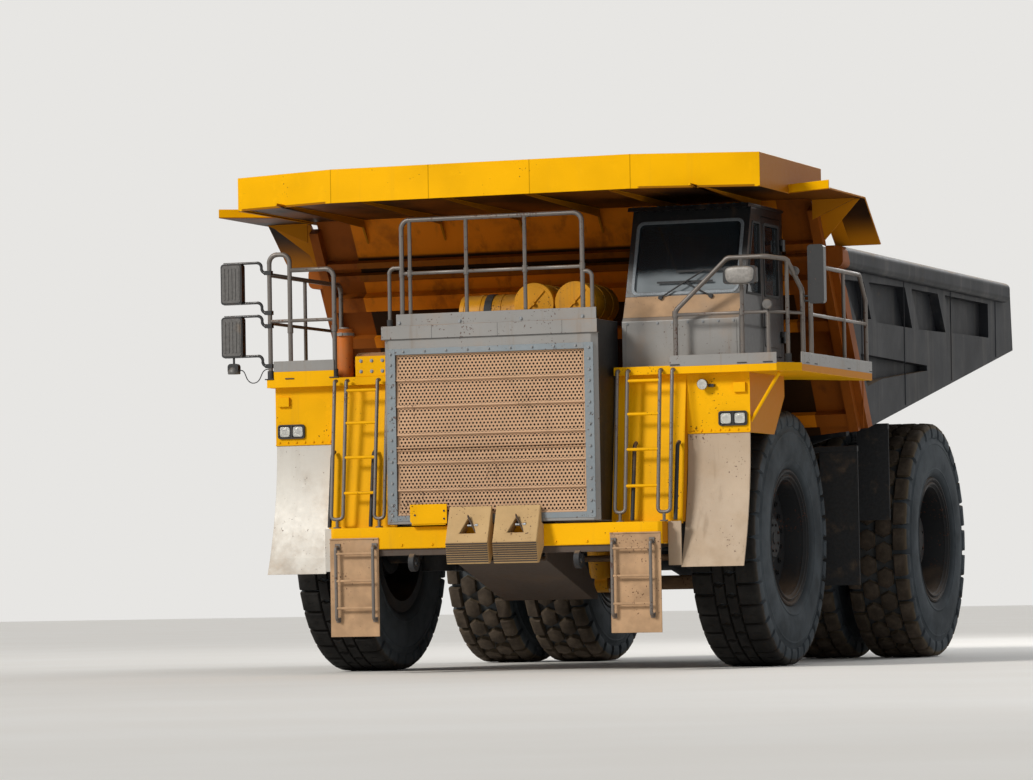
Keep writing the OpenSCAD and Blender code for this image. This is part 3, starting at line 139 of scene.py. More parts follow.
class Socket:
    """Shader value that takes part in Python expressions."""

    def __init__(self, graph: "Graph", link: Any) -> None:
        """Keeps the graph and the output link of the value."""
        self.graph = graph
        self.link = link

    def _math(self, operation: str, *values: Any) -> "Socket":
        """Adds a Math node for the operation."""
        return self.graph.node("ShaderNodeMath", {"operation": operation}, dict(enumerate(values)))

    def __add__(self, other: Any) -> "Socket":
        """Sum."""
        return self._math("ADD", self, other)

    def __sub__(self, other: Any) -> "Socket":
        """Difference."""
        return self._math("SUBTRACT", self, other)

    def __rsub__(self, other: Any) -> "Socket":
        """Difference from a number."""
        return self._math("SUBTRACT", other, self)

    def __mul__(self, other: Any) -> "Socket":
        """Product."""
        return self._math("MULTIPLY", self, other)

    def __truediv__(self, other: Any) -> "Socket":
        """Quotient."""
        return self._math("DIVIDE", self, other)

    def __pow__(self, other: Any) -> "Socket":
        """Power."""
        return self._math("POWER", self, other)

    __radd__ = __add__
    __rmul__ = __mul__

    def top(self, other: Any) -> "Socket":
        """Larger of two values."""
        return self._math("MAXIMUM", self, other)

    def size(self) -> "Socket":
        """Value without its sign."""
        return self._math("ABSOLUTE", self)

    def clipped(self) -> "Socket":
        """Value held between 0 and 1."""
        return self.graph.node("ShaderNodeClamp", {}, {"Value": self})

    def step(self, low: float, high: float) -> "Socket":
        """Smooth step from 0 at low to 1 at high."""
        return self.graph.node("ShaderNodeMapRange", {"interpolation_type": "SMOOTHSTEP"},
                               {"Value": self, "From Min": low, "From Max": high})


class Graph:
    """Node graph of one material."""

    def __init__(self, name: str) -> None:
        """Starts an empty material of that name."""
        self.material = bpy.data.materials.new(name)
        self.material.use_nodes = True
        self.tree = self.material.node_tree
        self.tree.nodes.clear()
        self.place = self.node("ShaderNodeTexCoord", {}, {}, "Object")
        self.normal = self.node("ShaderNodeTexCoord", {}, {}, "Normal")

    def node(self, kind: str, settings: Mapping[str, Any], values: Mapping[Any, Any],
             out: Any = 0) -> Socket:
        """Adds a node.

        Args:
            kind: Type of the node.
            settings: Attributes that are set first.
            values: Values or links by input name or number.
            out: Name or number of the output that is wanted.

        Returns:
            The wrapped output.
        """
        made = self.tree.nodes.new(kind)
        for key, value in settings.items():
            setattr(made, key, value)
        for key, value in values.items():
            if isinstance(value, Socket):
                self.tree.links.new(value.link, made.inputs[key])
            elif isinstance(value, tuple) and len(value) == 3 and made.inputs[key].type == "RGBA":
                made.inputs[key].default_value = (*value, 1.0)
            else:
                made.inputs[key].default_value = value
        return Socket(self, made.outputs[out])

    def stretched(self, scale: Point, centre: Point = (0.0, 0.0, 0.0)) -> Socket:
        """Object coordinates moved to a centre and stretched."""
        moved = tuple(-c * s for c, s in zip(centre, scale))
        return self.node("ShaderNodeMapping", {}, {"Vector": self.place, "Location": moved,
                                                   "Scale": scale})

    def noise(self, scale: float, detail: float = 4.0, rough: float = 0.55,
              at: Socket | None = None) -> Socket:
        """Fractal noise between 0 and 1."""
        return self.node("ShaderNodeTexNoise", {}, {"Vector": at or self.place, "Scale": scale,
                                                    "Detail": detail, "Roughness": rough})

    def part(self, vector: Socket, axis: str) -> Socket:
        """One coordinate of a vector."""
        return self.node("ShaderNodeSeparateXYZ", {}, {"Vector": vector}, axis)

    def mix(self, share: Any, first: Any, second: Any) -> Socket:
        """Mixes two colours."""
        made = self.tree.nodes.new("ShaderNodeMix")
        made.data_type = "RGBA"
        for key, value in ((0, share), (6, first), (7, second)):
            if isinstance(value, Socket):
                self.tree.links.new(value.link, made.inputs[key])
            elif isinstance(value, tuple):
                made.inputs[key].default_value = (*value, 1.0)
            else:
                made.inputs[key].default_value = value
        return Socket(self, made.outputs[2])

    def surface(self, colour: Any, rough: Any, metal: Any = 0.0, height: Socket | None = None,
                depth: float = 0.002, **plain: float) -> bpy.types.Material:
        """Closes the graph with a surface.

        Args:
            colour: Base colour.
            rough: Roughness.
            metal: Metallic share.
            height: Height for the bump, if any.
            depth: Distance of the bump in metres.
            **plain: Other inputs by name, with underscores for blanks.

        Returns:
            The material.
        """
        values = {"Base Color": colour, "Roughness": rough, "Metallic": metal}
        values.update({key.replace("_", " "): value for key, value in plain.items()})
        if height is not None:
            values["Normal"] = self.node("ShaderNodeBump", {}, {"Height": height, "Strength": 1.0,
                                                                "Distance": depth}, "Normal")
        shader = self.node("ShaderNodeBsdfPrincipled", {}, values)
        self.node_out(shader)
        return self.material

    def node_out(self, shader: Socket) -> None:
        """Links a shader to the material's output."""
        made = self.tree.nodes.new("ShaderNodeOutputMaterial")
        self.tree.links.new(shader.link, made.inputs["Surface"])


# Finishes


@dataclass(frozen=True)
class Paint:
    """Worn paint on plate, with dust, run-down streaks, chips and rust, and painted shade on faces turned
    to +X where a flank colour is given.
    """

    name: str
    slot: str
    colour: str
    dust: str = "A8845F"
    dusty: float = 0.35
    mud_top: float = 1.5
    streaky: float = 0.25
    chipped: float = 0.35
    rough: float = 0.42
    metal: float = 0.0
    rust: str = "4A2A1A"
    coat: float = 0.0
    seams: tuple[float, ...] = ()
    sheen: float = 0.5
    shade_flank: str = ""

    def make(self) -> bpy.types.Material:
        """Builds the material."""
        g = Graph(self.name)
        paint = srgb(self.colour)
        tone = g.noise(0.9, 3.0)
        colour = g.mix(tone.step(0.35, 0.7), paint, shade(paint, 0.84))
        faded = tuple(min(1.0, c * 1.08 + 0.002) for c in paint)
        colour = g.mix(g.noise(7.0, 5.0, 0.65).step(0.55, 0.8) * 0.6, colour, faded)
        height_z = g.part(g.place, "Z")
        up = g.part(g.normal, "Z")
        grime = g.noise(2.3, 8.0, 0.62)
        low = (self.mud_top - height_z) * 0.55
        dust = grime + low.clipped() * 0.6 + up.step(0.3, 0.9) * 0.30 - 0.62 + self.dusty * 0.5
        dust = dust.step(0.0, 0.5) * min(1.0, 0.35 + self.dusty)
        runs = g.noise(1.0, 4.0, 0.6, g.stretched((9.0, 9.0, 0.55)))
        streak = runs.step(0.56, 0.76) * self.streaky
        fine = g.noise(46.0, 3.0, 0.5)
        chips = (fine + g.noise(3.1, 3.0) * 0.55).step(0.985 - self.chipped * 0.12,
                                                       1.02 - self.chipped * 0.1)
        dry = srgb(self.dust)
        dust_colour = g.mix(g.noise(5.0, 6.0).step(0.3, 0.7), dry, shade(dry, 0.72))
        colour = g.mix(streak, colour, shade(dry, 0.45))
        colour = g.mix(dust, colour, dust_colour)
        colour = g.mix(chips * 0.85, colour, srgb(self.rust))
        colour = self.shaded(g, colour)
        # Painted shade: faces turned to +X, away from the key light, take the flank colour.
        if self.shade_flank:
            colour = g.mix(g.part(g.normal, "X").step(0.8, 0.95), colour, srgb(self.shade_flank))
        rough = (dust * 0.45 + streak * 0.3 + g.noise(18.0, 2.0) * 0.12 + self.rough - 0.06).clipped()
        height = grime * 0.5 + g.noise(30.0, 4.0) * 0.35 - chips * 0.5
        for seam in self.seams:
            line = (g.part(g.place, "X") - seam).size().step(0.006, 0.002)
            colour = g.mix(line * 0.6, colour, shade(paint, 0.4))
            height = height - line * 1.5
        return g.surface(colour, rough, self.metal, height, 0.0022, Coat_Weight=self.coat,
                         Specular_IOR_Level=self.sheen)

    def shaded(self, g: Graph, colour: Socket) -> Socket:
        """Colour with painted shade that only one piece has; plain paint has nothing more."""
        return colour


@dataclass(frozen=True)
class CanopyPaint(Paint):
    """Paint of the canopy, with painted shade in brown on its ribs, its wings' low edges and its underside.
    """

    underside_shade: str = "23170F"
    underside_shade_brown: str = "6B3D14"
    rib_shade: str = "7A4310"
    wing: str = "A05C12"
    soffit: float = 4.872
    wing_low: float = 4.860
    wing_x: float = 2.83
    fascia: float = station(-2.33)

    def shaded(self, g: Graph, colour: Socket) -> Socket:
        """Colour with its brown parts, all painted shade."""
        x, y, z = g.part(g.place, "X").size(), g.part(g.place, "Y"), g.part(g.place, "Z")
        # Painted shade: ribs beneath the soffit, the wings' low outer edges and downward faces take shaded
        # browns.
        ribs = z.step(self.soffit + 0.002, self.soffit) * x.step(self.wing_x - 0.01, self.wing_x - 0.03)
        ribs = ribs * y.step(self.fascia - 0.01, self.fascia) * 0.8
        low = z.step(self.wing_low + 0.002, self.wing_low)
        wings = x.step(self.wing_x, self.wing_x + 0.02) * low * 0.85
        downward_shade = g.mix(g.noise(0.9, 3.0).step(0.35, 0.65), srgb(self.underside_shade), srgb(self.underside_shade_brown))
        colour = g.mix(wings, g.mix(ribs, colour, srgb(self.rib_shade)), srgb(self.wing))
        return g.mix(g.part(g.normal, "Z").step(-0.80, -0.95), colour, downward_shade)


@dataclass(frozen=True)
class TubPlate:
    """Dark wear plate, with paint, stains and painted shade over the front wall and its edge."""

    name: str
    slot: str
    dark: str = "2C2E32"
    # The paint, panel and post colours are the yellow paint drawn with painted shade: orange where half
    # lit, brown where in shade.
    paint: str = "D67D14"
    panel: str = "33200F"
    post: str = "8A4A14"
    foot: Flat = (1.53, 2.51)
    slope: float = 0.6245
    upright: float = 0.848
    edge: float = 0.16
    beam: float = 0.02
    # Heights that split the front wall into painted light and painted shade bands.
    upper_panel: float = 4.50
    band: Flat = (3.98, 4.22)
    post_half: float = 2.42
    worn: str = "5E5A56"
    dust: str = "9A8266"
    rust: str = "3A2419"
    stain: str = "5A3014"
    run: str = "2E211A"

    def make(self) -> bpy.types.Material:
        """Builds the material."""
        g = Graph(self.name)
        y, z, up = g.part(g.place, "Y"), g.part(g.place, "Z"), g.part(g.normal, "Z")
        behind = (y - station(self.foot[0]) + (z - self.foot[1]) * self.slope) * self.upright
        dark, paint = srgb(self.dark), srgb(self.paint)
        grime = g.noise(2.1, 8.0, 0.62)
        plate = g.mix(g.noise(0.8, 3.0).step(0.3, 0.75), dark, shade(dark, 0.66))
        runs = g.noise(1.0, 4.0, 0.6, g.stretched((5.0, 5.0, 0.4)))
        plate = g.mix(runs.step(0.5, 0.75) * 0.35, plate, srgb(self.worn))
        plate = g.mix((grime + up.step(0.2, 0.9) * 0.35).step(0.62, 0.95) * 0.5, plate, srgb(self.dust))
        plate = g.mix(g.noise(38.0, 3.0).step(0.64, 0.72) * 0.4, plate, srgb(self.rust))
        # Painted shade: the paint colour shows in the lit bands and the top panel, the panel brown
        # elsewhere, and the beams take a shaded mix.
        (low, high), brow, brown = self.band, self.upper_panel, srgb(self.panel)
        painted = (z.step(low - 0.02, low) * z.step(high + 0.02, high)).top(z.step(brow - 0.03, brow))
        panel = g.mix(painted, brown, paint)
        beam = g.mix(z.step(high, high + 0.02) * z.step(brow, brow - 0.03) * 0.7, paint, brown)
        stain_and_shade = g.mix(behind.step(-self.beam - 0.006, -self.beam), beam, panel)
        # The outer posts take the post colour, paint in painted shade.
        outer = g.part(g.place, "X").size().step(self.post_half - 0.01, self.post_half)
        stain_and_shade = g.mix(outer, stain_and_shade, srgb(self.post))
        stain_and_shade = g.mix(grime.step(0.48, 0.78) * 0.6, stain_and_shade, srgb(self.stain))
        stain_and_shade = g.mix(runs.step(0.55, 0.72) * 0.4, stain_and_shade, srgb(self.run))
        share = (behind + (g.noise(30.0, 4.0) - 0.5) * 0.02).step(self.edge + 0.006, self.edge)
        colour = g.mix(share, plate, stain_and_shade)
        height = grime * 0.5 + g.noise(26.0, 4.0) * 0.4
        return g.surface(colour, (grime * 0.3 + 0.38).clipped(), 0.12, height, 0.0025,
                         Specular_IOR_Level=0.1)


@dataclass(frozen=True)
class TyreRubber:
    """Rubber that is dark on the tread and dusty blue-grey on the wall."""

    name: str
    slot: str
    centre_station: float
    wall: str = "4C5257"
    tread: str = "1D1C1B"
    groove: str = "544C44"
    tread_radius: float = 1.335
    wall_radius: float = 1.255
    bead: Flat = (0.72, 0.80)

    def make(self) -> bpy.types.Material:
        """Builds the material."""
        g = Graph(self.name)
        centred = g.stretched((1.0, 1.0, 1.0), (0.0, station(self.centre_station), AXLE_Z))
        y, z = g.part(centred, "Y"), g.part(centred, "Z")
        radius = (y * y + z * z) ** 0.5
        grime = g.noise(6.0, 7.0, 0.65)
        side, tread, groove = srgb(self.wall), srgb(self.tread), srgb(self.groove)
        wall = g.mix(g.noise(3.0, 5.0).step(0.3, 0.75), side, shade(side, 0.55))
        wall = g.mix(g.noise(60.0, 3.0).step(0.58, 0.74) * 0.5, wall, shade(side, 0.5))
        top = g.mix(grime.step(0.35, 0.75), tread, shade(tread, 2.1))
        depth = radius.step(self.tread_radius - 0.075, self.tread_radius - 0.012)
        outer = g.mix(depth, g.mix(grime.step(0.3, 0.7), groove, shade(groove, 0.4)), top)
        share = (radius + (grime - 0.5) * 0.05).step(self.wall_radius, self.wall_radius + 0.035)
        colour = g.mix(share, wall, outer)
        colour = g.mix(radius.step(*self.bead), shade(side, 0.45), colour)
        height = grime * 0.6 + g.noise(80.0, 3.0) * 0.4
        return g.surface(colour, grime * 0.18 + 0.66, 0.0, height, 0.003, Specular_IOR_Level=0.08)


@dataclass(frozen=True)
class Plain:
    """Small, even finish with fine variation: bare steel, seals, plastic or cloth."""

    name: str
    slot: str
    colour: str
    rough: float = 0.5
    metal: float = 0.0
    grain: float = 60.0
    dusty: float = 0.2
    depth: float = 0.0006
    dust: str = "9C8265"

    def make(self) -> bpy.types.Material:
        """Builds the material."""
        g = Graph(self.name)
        base = srgb(self.colour)
        fine = g.noise(self.grain, 4.0)
        colour = g.mix(fine.step(0.35, 0.7), base, shade(base, 0.72))
        dust = g.noise(4.0, 6.0) + g.part(g.normal, "Z").step(0.3, 1.0) * 0.3
        dust = dust.step(0.55, 0.85) * self.dusty
        colour = g.mix(dust, colour, srgb(self.dust))
        return g.surface(colour, (dust * 0.5 + fine * 0.1 + self.rough).clipped(), self.metal, fine,
                         self.depth)


@dataclass(frozen=True)
class Glass:
    """Clear pane or lens, low down veiled with dust and a painted sky reflection."""

    name: str
    slot: str
    colour: str = "46525A"
    rough: float = 0.02
    clear: float = 0.85
    dusty: float = 0.18
    haze_and_reflection: str = "8E979C"
    film_top: float = 4.10

    def make(self) -> bpy.types.Material:
        """Builds the material."""
        g = Graph(self.name)
        # Lower, forward-facing glass is veiled in blue-grey: dust and a painted reflection of the sky.
        low = (self.film_top - g.part(g.place, "Z")) * 2.5
        ahead = g.part(g.normal, "Y").step(-0.3, -0.6) * 0.8 + 0.2
        film_and_reflection = (g.noise(2.0, 6.0) * 0.3 + low).step(0.10, 0.40) * ahead * self.dusty
        pane = g.node("ShaderNodeBsdfPrincipled", {}, {
            "Base Color": srgb(self.colour), "Roughness": self.rough, "IOR": 1.45,
            "Transmission Weight": self.clear})
        haze_and_reflection = g.node("ShaderNodeBsdfPrincipled", {}, {"Base Color": srgb(self.haze_and_reflection), "Roughness": 0.6})
        g.node_out(g.node("ShaderNodeMixShader", {}, {0: film_and_reflection, 1: pane, 2: haze_and_reflection}))
        return g.material


class Finish(Enum):
    """Every finish of the truck."""

    # Flank colours in this table are painted shade on faces turned to +X, away from the key light.
    YELLOW = Paint("worn_yellow_paint", "yellow", "F8B60A", dusty=-0.05, mud_top=1.2, streaky=0.12,
                   chipped=-0.2, rough=0.42, sheen=0.05, shade_flank="C07A02")
    CANOPY = CanopyPaint("canopy_yellow_paint", "yellow", "FAB804", dusty=-0.1, mud_top=-3.0,
                         streaky=0.05, chipped=-0.5, rough=0.42, seams=(-1.63, -0.55, 0.55, 1.63),
                         sheen=0.05, shade_flank="9C600C")
    HOUSING = Paint("housing_grey_paint", "steel", "8A8885", dusty=0.25, mud_top=1.4, streaky=0.35,
                    chipped=0.12, rough=0.44, metal=0.15)
    RADIATOR = Paint("radiator_grey_paint", "steel", "8A8885", dusty=0.25, mud_top=1.4, streaky=0.35,
                     chipped=0.12, rough=0.44, metal=0.15, shade_flank="1C1D1F")
    RAILS = Paint("rail_grey_paint", "steel", "6F6964", dusty=0.22, mud_top=0.5, streaky=0.2, chipped=0.4,
                  rough=0.42, metal=0.35)
    FRAME = Paint("frame_grey_paint", "steel", "33363A", dusty=0.45, mud_top=1.9, streaky=0.3,
                  chipped=0.4, rough=0.55)
    DARK = Paint("dark_paint", "dark", "232529", dusty=0.30, mud_top=1.5, streaky=0.25, chipped=0.3,
                 rough=0.52, sheen=0.3)
    WHEEL = Paint("wheel_grey_paint", "dark", "1B1C1E", dusty=0.18, mud_top=1.2, streaky=0.0, chipped=0.5,
                  rough=0.58, dust="6E5B49", sheen=0.15)
    BLACK = Paint("cab_black_paint", "black", "121315", dusty=0.02, mud_top=1.0, streaky=0.15,
                  chipped=0.1, rough=0.36, coat=0.2)
    TAN = Paint("mud_coated_steel", "tan", "A98F75", dusty=0.8, mud_top=1.8, streaky=0.3, chipped=0.3,
                rough=0.7, dust="C09C78")
    CHOCK = Paint("sandy_chock_paint", "tan", "C2A06C", dusty=0.45, mud_top=0.9, streaky=0.3, chipped=0.2,
                  rough=0.65, dust="C4A276")
    # Dark brown of mud and painted shade, for the belly guard beneath the truck, the bumper's recessed lip
    # and the chocks' ribs and recess.
    MUD_AND_SHADE = Paint("mud_and_shade_plate", "tan", "4B3E34", dusty=0.35, mud_top=0.6, streaky=0.4, chipped=0.3,
                  rough=0.7, dust="6E5844")
    MESH = Paint("dusty_grille_sheet", "tan", "C29A76", dusty=0.45, mud_top=0.5, streaky=0.25,
                 chipped=0.1, rough=0.62, dust="C3A282")
    PALE = Paint("pale_apron_plate", "pale", "C4C0B8", dusty=0.30, mud_top=1.50, streaky=0.15,
                 chipped=-0.1, rough=0.5, metal=0.15, dust="B59A7B")
    SANDY = Paint("sandy_apron_plate", "pale", "B39E86", dusty=0.40, mud_top=1.6, streaky=0.3,
                  chipped=-0.1, rough=0.55, metal=0.05, dust="B59A7B")
    ZINC = Paint("galvanised_strip", "steel", "7F878C", dusty=0.25, mud_top=1.7, streaky=0.3, chipped=0.3,
                 rough=0.38, metal=0.55)
    BRACKET = Paint("orange_canister_paint", "yellow", "D9730E", dusty=0.55, mud_top=0.5, streaky=0.4,
                    chipped=0.4, rough=0.5)
    TUB = TubPlate("tub_plate", "body_dark")
    FLAP = Plain("flap_rubber", "dark", "222325", 0.75, 0.0, 35.0, 0.55, 0.002)
    STEEL_STRAP = Plain("strap_steel", "steel", "55585B", 0.5, 0.5, 70.0, 0.4)
    CORE = Plain("radiator_core", "dark", "1B1714", 0.8, 0.0, 220.0, 0.35)
    BOLT = Plain("bare_bolt_steel", "steel", "8A8C8E", 0.38, 0.75, 90.0, 0.35)
    SEAL = Plain("rubber_seal", "black", "2A2B2D", 0.62, 0.0, 120.0, 0.30)
    TRIM = Plain("window_border", "steel", "6C7277", 0.45, 0.35, 60.0, 0.35)
    CHROME = Plain("hard_chrome", "chrome", "C9CCCE", 0.16, 1.0, 40.0, 0.12)
    CLOTH = Plain("seat_cloth", "fabric", "26272B", 0.85, 0.0, 300.0, 0.15, 0.0012)
    PLASTIC = Plain("dash_plastic", "plastic", "1E1F21", 0.6, 0.0, 200.0, 0.25)
    SILVER = Plain("mirror_shell", "pale", "8C8883", 0.42, 0.2, 30.0, 0.5)
    LAMP_GREY = Plain("lamp_housing", "pale", "5E5C5A", 0.45, 0.2, 30.0, 0.5)
    MIRROR = Plain("mirror_face", "pale", "B8BDC0", 0.06, 1.0, 8.0, 0.05)
    IRON = Plain("cast_iron_paint", "iron", "26272A", 0.6, 0.1, 40.0, 0.6, 0.0015)
    DRUM = Paint("filter_drum_paint", "yellow", "DD980F", dusty=0.2, mud_top=0.5, streaky=0.5,
                 chipped=0.3, rough=0.45, sheen=0.25)
    PANE = Glass("cab_pane", "glass", dusty=0.6)
    LENS = Glass("lamp_lens", "pale", "F2F2EE", 0.12, 0.75, 0.14, haze_and_reflection="F6F5F0")
    LAMP = Plain("lamp_reflector", "pale", "E4E3DC", 0.22, 0.85, 30.0, 0.1)
    FRONT_TYRE = TyreRubber("front_tyre_rubber", "tyre", 0.0)
    REAR_TYRE = TyreRubber("rear_tyre_rubber", "tyre", WHEELBASE, tread="3E362E", groove="75664F")


@cache
def material(finish: Finish) -> bpy.types.Material:
    """Material of a finish, made once."""
    return finish.value.make()


# Meshes


class Shape:
    """Mesh in the making, put together from closed forms."""

    def __init__(self) -> None:
        """Starts empty."""
        self.points: list[Point] = []
        self.faces: list[tuple[int, ...]] = []

    def add(self, points: Iterable[Sequence[float]], faces: Iterable[Sequence[int]]) -> "Shape":
        """Adds points and the faces that join them."""
        base = len(self.points)
        self.points += [tuple(p) for p in points]
        self.faces += [tuple(base + i for i in face) for face in faces]
        return self

    def prism(self, outline: Sequence[Flat], axis: Axis, low: float, high: float) -> "Shape":
        """Adds an outline drawn out along an axis."""
        points = [axis.lift(flat, end) for end in (low, high) for flat in outline]
        return self.add(points, skin(2, len(outline)))

    def box(self, low: Point, high: Point) -> "Shape":
        """Adds a box between two corners."""
        (x0, y0, z0), (x1, y1, z1) = low, high
        return self.prism([(x0, y0), (x1, y0), (x1, y1), (x0, y1)], Axis.Z, z0, z1)

    def tube(self, path: Sequence[Point], radius: float, sides: int = 12,
             bend: float = 0.0) -> "Shape":
        """Adds a round tube along a path.

        Args:
            path: Corner points.
            radius: Radius of the tube.
            sides: Faces round the tube.
            bend: Radius of the bends at the corners, or 0 for sharp ones.

        Returns:
            The shape.
        """
        points = [Vector(p) for p in (rounded(path, bend) if bend else path)]
        last = len(points) - 1
        heads = [((points[min(i + 1, last)] - points[i]).normalized()
                  + (points[i] - points[max(i - 1, 0)]).normalized()).normalized()
                  for i in range(last + 1)]
        side = heads[0].orthogonal().normalized()
        rings: list[Vector] = []
        for i, (point, head) in enumerate(zip(points, heads)):
            side = (side - head * side.dot(head)).normalized()
            other = head.cross(side)
            step = (points[min(i + 1, last)] - points[i] if i < last
                    else points[i] - points[i - 1]).normalized()
            widen = 1.0 / max(0.6, head.dot(step))
            for turn in turns(sides):
                rings.append(point + (side * math.cos(turn) + other * math.sin(turn)) * radius
                             * (widen if 0 < i < last and not bend else 1.0))
        return self.add(rings, skin(last + 1, sides))

    def disc(self, start: Point, end: Point, radius: float, sides: int = 24,
             far_radius: float | None = None) -> "Shape":
        """Adds a round bar or cone between two points."""
        a, b = Vector(start), Vector(end)
        head = (b - a).normalized()
        side = head.orthogonal().normalized()
        other = head.cross(side)
        far = radius if far_radius is None else far_radius
        points = [centre + (side * math.cos(t) + other * math.sin(t)) * r
                  for centre, r in ((a, radius), (b, far)) for t in turns(sides)]
        return self.add(points, skin(2, sides))

    def lathe(self, profile: Sequence[Flat], centre: Point, out: float = 1.0, sides: int = 96) -> "Shape":
        """Adds a ring or a turned form about an axle.

        Args:
            profile: Closed outline of (radius, distance outboard); radius 0 closes on the axis.
            centre: Middle of the wheel.
            out: Direction of outboard along X.
            sides: Faces round the axle.

        Returns:
            The shape.
        """
        cx, cy, cz = centre
        index: list[list[int]] = []
        points: list[Point] = []
        for radius, away in profile:
            row = []
            for turn in turns(sides)[:1 if radius == 0 else sides]:
                row.append(len(points))
                points.append((cx + out * away, cy + radius * math.sin(turn),
                               cz + radius * math.cos(turn)))
            index.append(row * sides if radius == 0 else row)
        faces = []
        for here, there in zip(index, index[1:] + index[:1]):
            for k in range(sides):
                quad = [here[k], here[(k + 1) % sides], there[(k + 1) % sides], there[k]]
                face = tuple(dict.fromkeys(quad))
                if len(face) > 2:
                    faces.append(face)
        return self.add(points, faces)

    def both(self) -> "Shape":
        """Adds the mirror image across the middle."""
        return self.add([(-x, y, z) for x, y, z in self.points], [f[::-1] for f in self.faces])

    def mesh(self, name: str) -> bpy.types.Mesh:
        """Mesh of the shape, with its faces turned outwards."""
        mesh = bpy.data.meshes.new(name)
        mesh.from_pydata(self.points, [], self.faces)
        sheet = bmesh.new()
        sheet.from_mesh(mesh)
        bmesh.ops.recalc_face_normals(sheet, faces=sheet.faces)
        sheet.to_mesh(mesh)
        sheet.free()
        return mesh

    def piece(self, name: str, finish: Finish, body: Body = Body.CHASSIS, bevel: float = 0.0,
              replaces: Sequence[str] = (), angle: float = 35.0) -> bpy.types.Object:
        """Makes the finished piece.

        Args:
            name: Name of the piece.
            finish: Finish that it is given.
            body: Body that it rides on.
            bevel: Width of the edge bevel, or 0.
            replaces: Nodes of the frame that it stands for.
            angle: Edges sharper than this stay sharp, in degrees.

        Returns:
            The object.
        """
        return finished(self.mesh(name), name, finish, body, bevel, replaces, angle)


def rounded(path: Sequence[Point], bend: float, steps: int = 5) -> list[Point]:
    """Path whose inner corners are bent round.

    Args:
        path: Corner points.
        bend: Distance from a corner at which its bend starts.
        steps: Points in each bend, less one.

    Returns:
        The longer path.
    """
    points = [Vector(p) for p in path]
    made = [points[0]]
    for before, corner, after in zip(points, points[1:], points[2:]):
        reach = min(bend, (before - corner).length * 0.48, (after - corner).length * 0.48)
        start = corner + (before - corner).normalized() * reach
        end = corner + (after - corner).normalized() * reach
        for k in range(steps + 1):
            t = k / steps
            made.append(start * (1 - t) ** 2 + corner * 2 * t * (1 - t) + end * t * t)
    made.append(points[-1])
    return [tuple(p) for p in made]


def finished(mesh: bpy.types.Mesh, name: str, finish: Finish, body: Body, bevel: float = 0.0,
             replaces: Sequence[str] = (), angle: float = 35.0) -> bpy.types.Object:
    """Turns a mesh into a dressed piece that rides on its body.

    Args:
        mesh: Mesh in its place.
        name: Name of the piece.
        finish: Finish that it is given.
        body: Body that it rides on.
        bevel: Width of the edge bevel, or 0.
        replaces: Nodes of the frame that it stands for.
        angle: Edges sharper than this stay sharp, in degrees.

    Returns:
        The object.
    """
    mesh.shade_smooth()
    mesh.set_sharp_from_angle(angle=math.radians(angle))
    obj = placed(name, mesh)
    if bevel:
        cut = obj.modifiers.new("edge", "BEVEL")
        cut.width = bevel
        cut.segments = 2
        cut.limit_method = "ANGLE"
        cut.angle_limit = math.radians(40)
        cut.use_clamp_overlap = True
        even = obj.modifiers.new("normals", "WEIGHTED_NORMAL")
        even.keep_sharp = True
    mesh.materials.clear()
    mesh.materials.append(material(finish))
    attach(obj, body.value)
    if replaces:
        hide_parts(*replaces)
    log.info("%s: %d faces on %s", name, len(mesh.polygons), body.value)
    return obj


def copied(node: str, finish: Finish, body: Body = Body.CHASSIS, bevel: float = 0.006,
           only: Callable[[Vector], bool] | None = None, name: str = "") -> bpy.types.Object:
    """Piece with a node's own shape, with merged faces and worn edges.

    Args:
        node: Node of the frame.
        finish: Finish that it is given.
        body: Body that it rides on.
        bevel: Width of the edge bevel, or 0.
        only: Keeps the faces whose middle passes this test.
        name: Name of the piece, if not the node's.

    Returns:
        The object.
    """
    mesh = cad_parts[node].data.copy()
    sheet = bmesh.new()
    sheet.from_mesh(mesh)
    bmesh.ops.remove_doubles(sheet, verts=sheet.verts, dist=2e-5)
    if only is not None:
        drop = [face for face in sheet.faces if not only(face.calc_center_median())]
        bmesh.ops.delete(sheet, geom=drop, context="FACES")
    bmesh.ops.dissolve_limit(sheet, angle_limit=math.radians(0.6), verts=sheet.verts, edges=sheet.edges)
    sheet.to_mesh(mesh)
    sheet.free()
    return finished(mesh, name or node + "_dressed", finish, body, bevel, [node], 30.0)


# Repeats, by geometry nodes


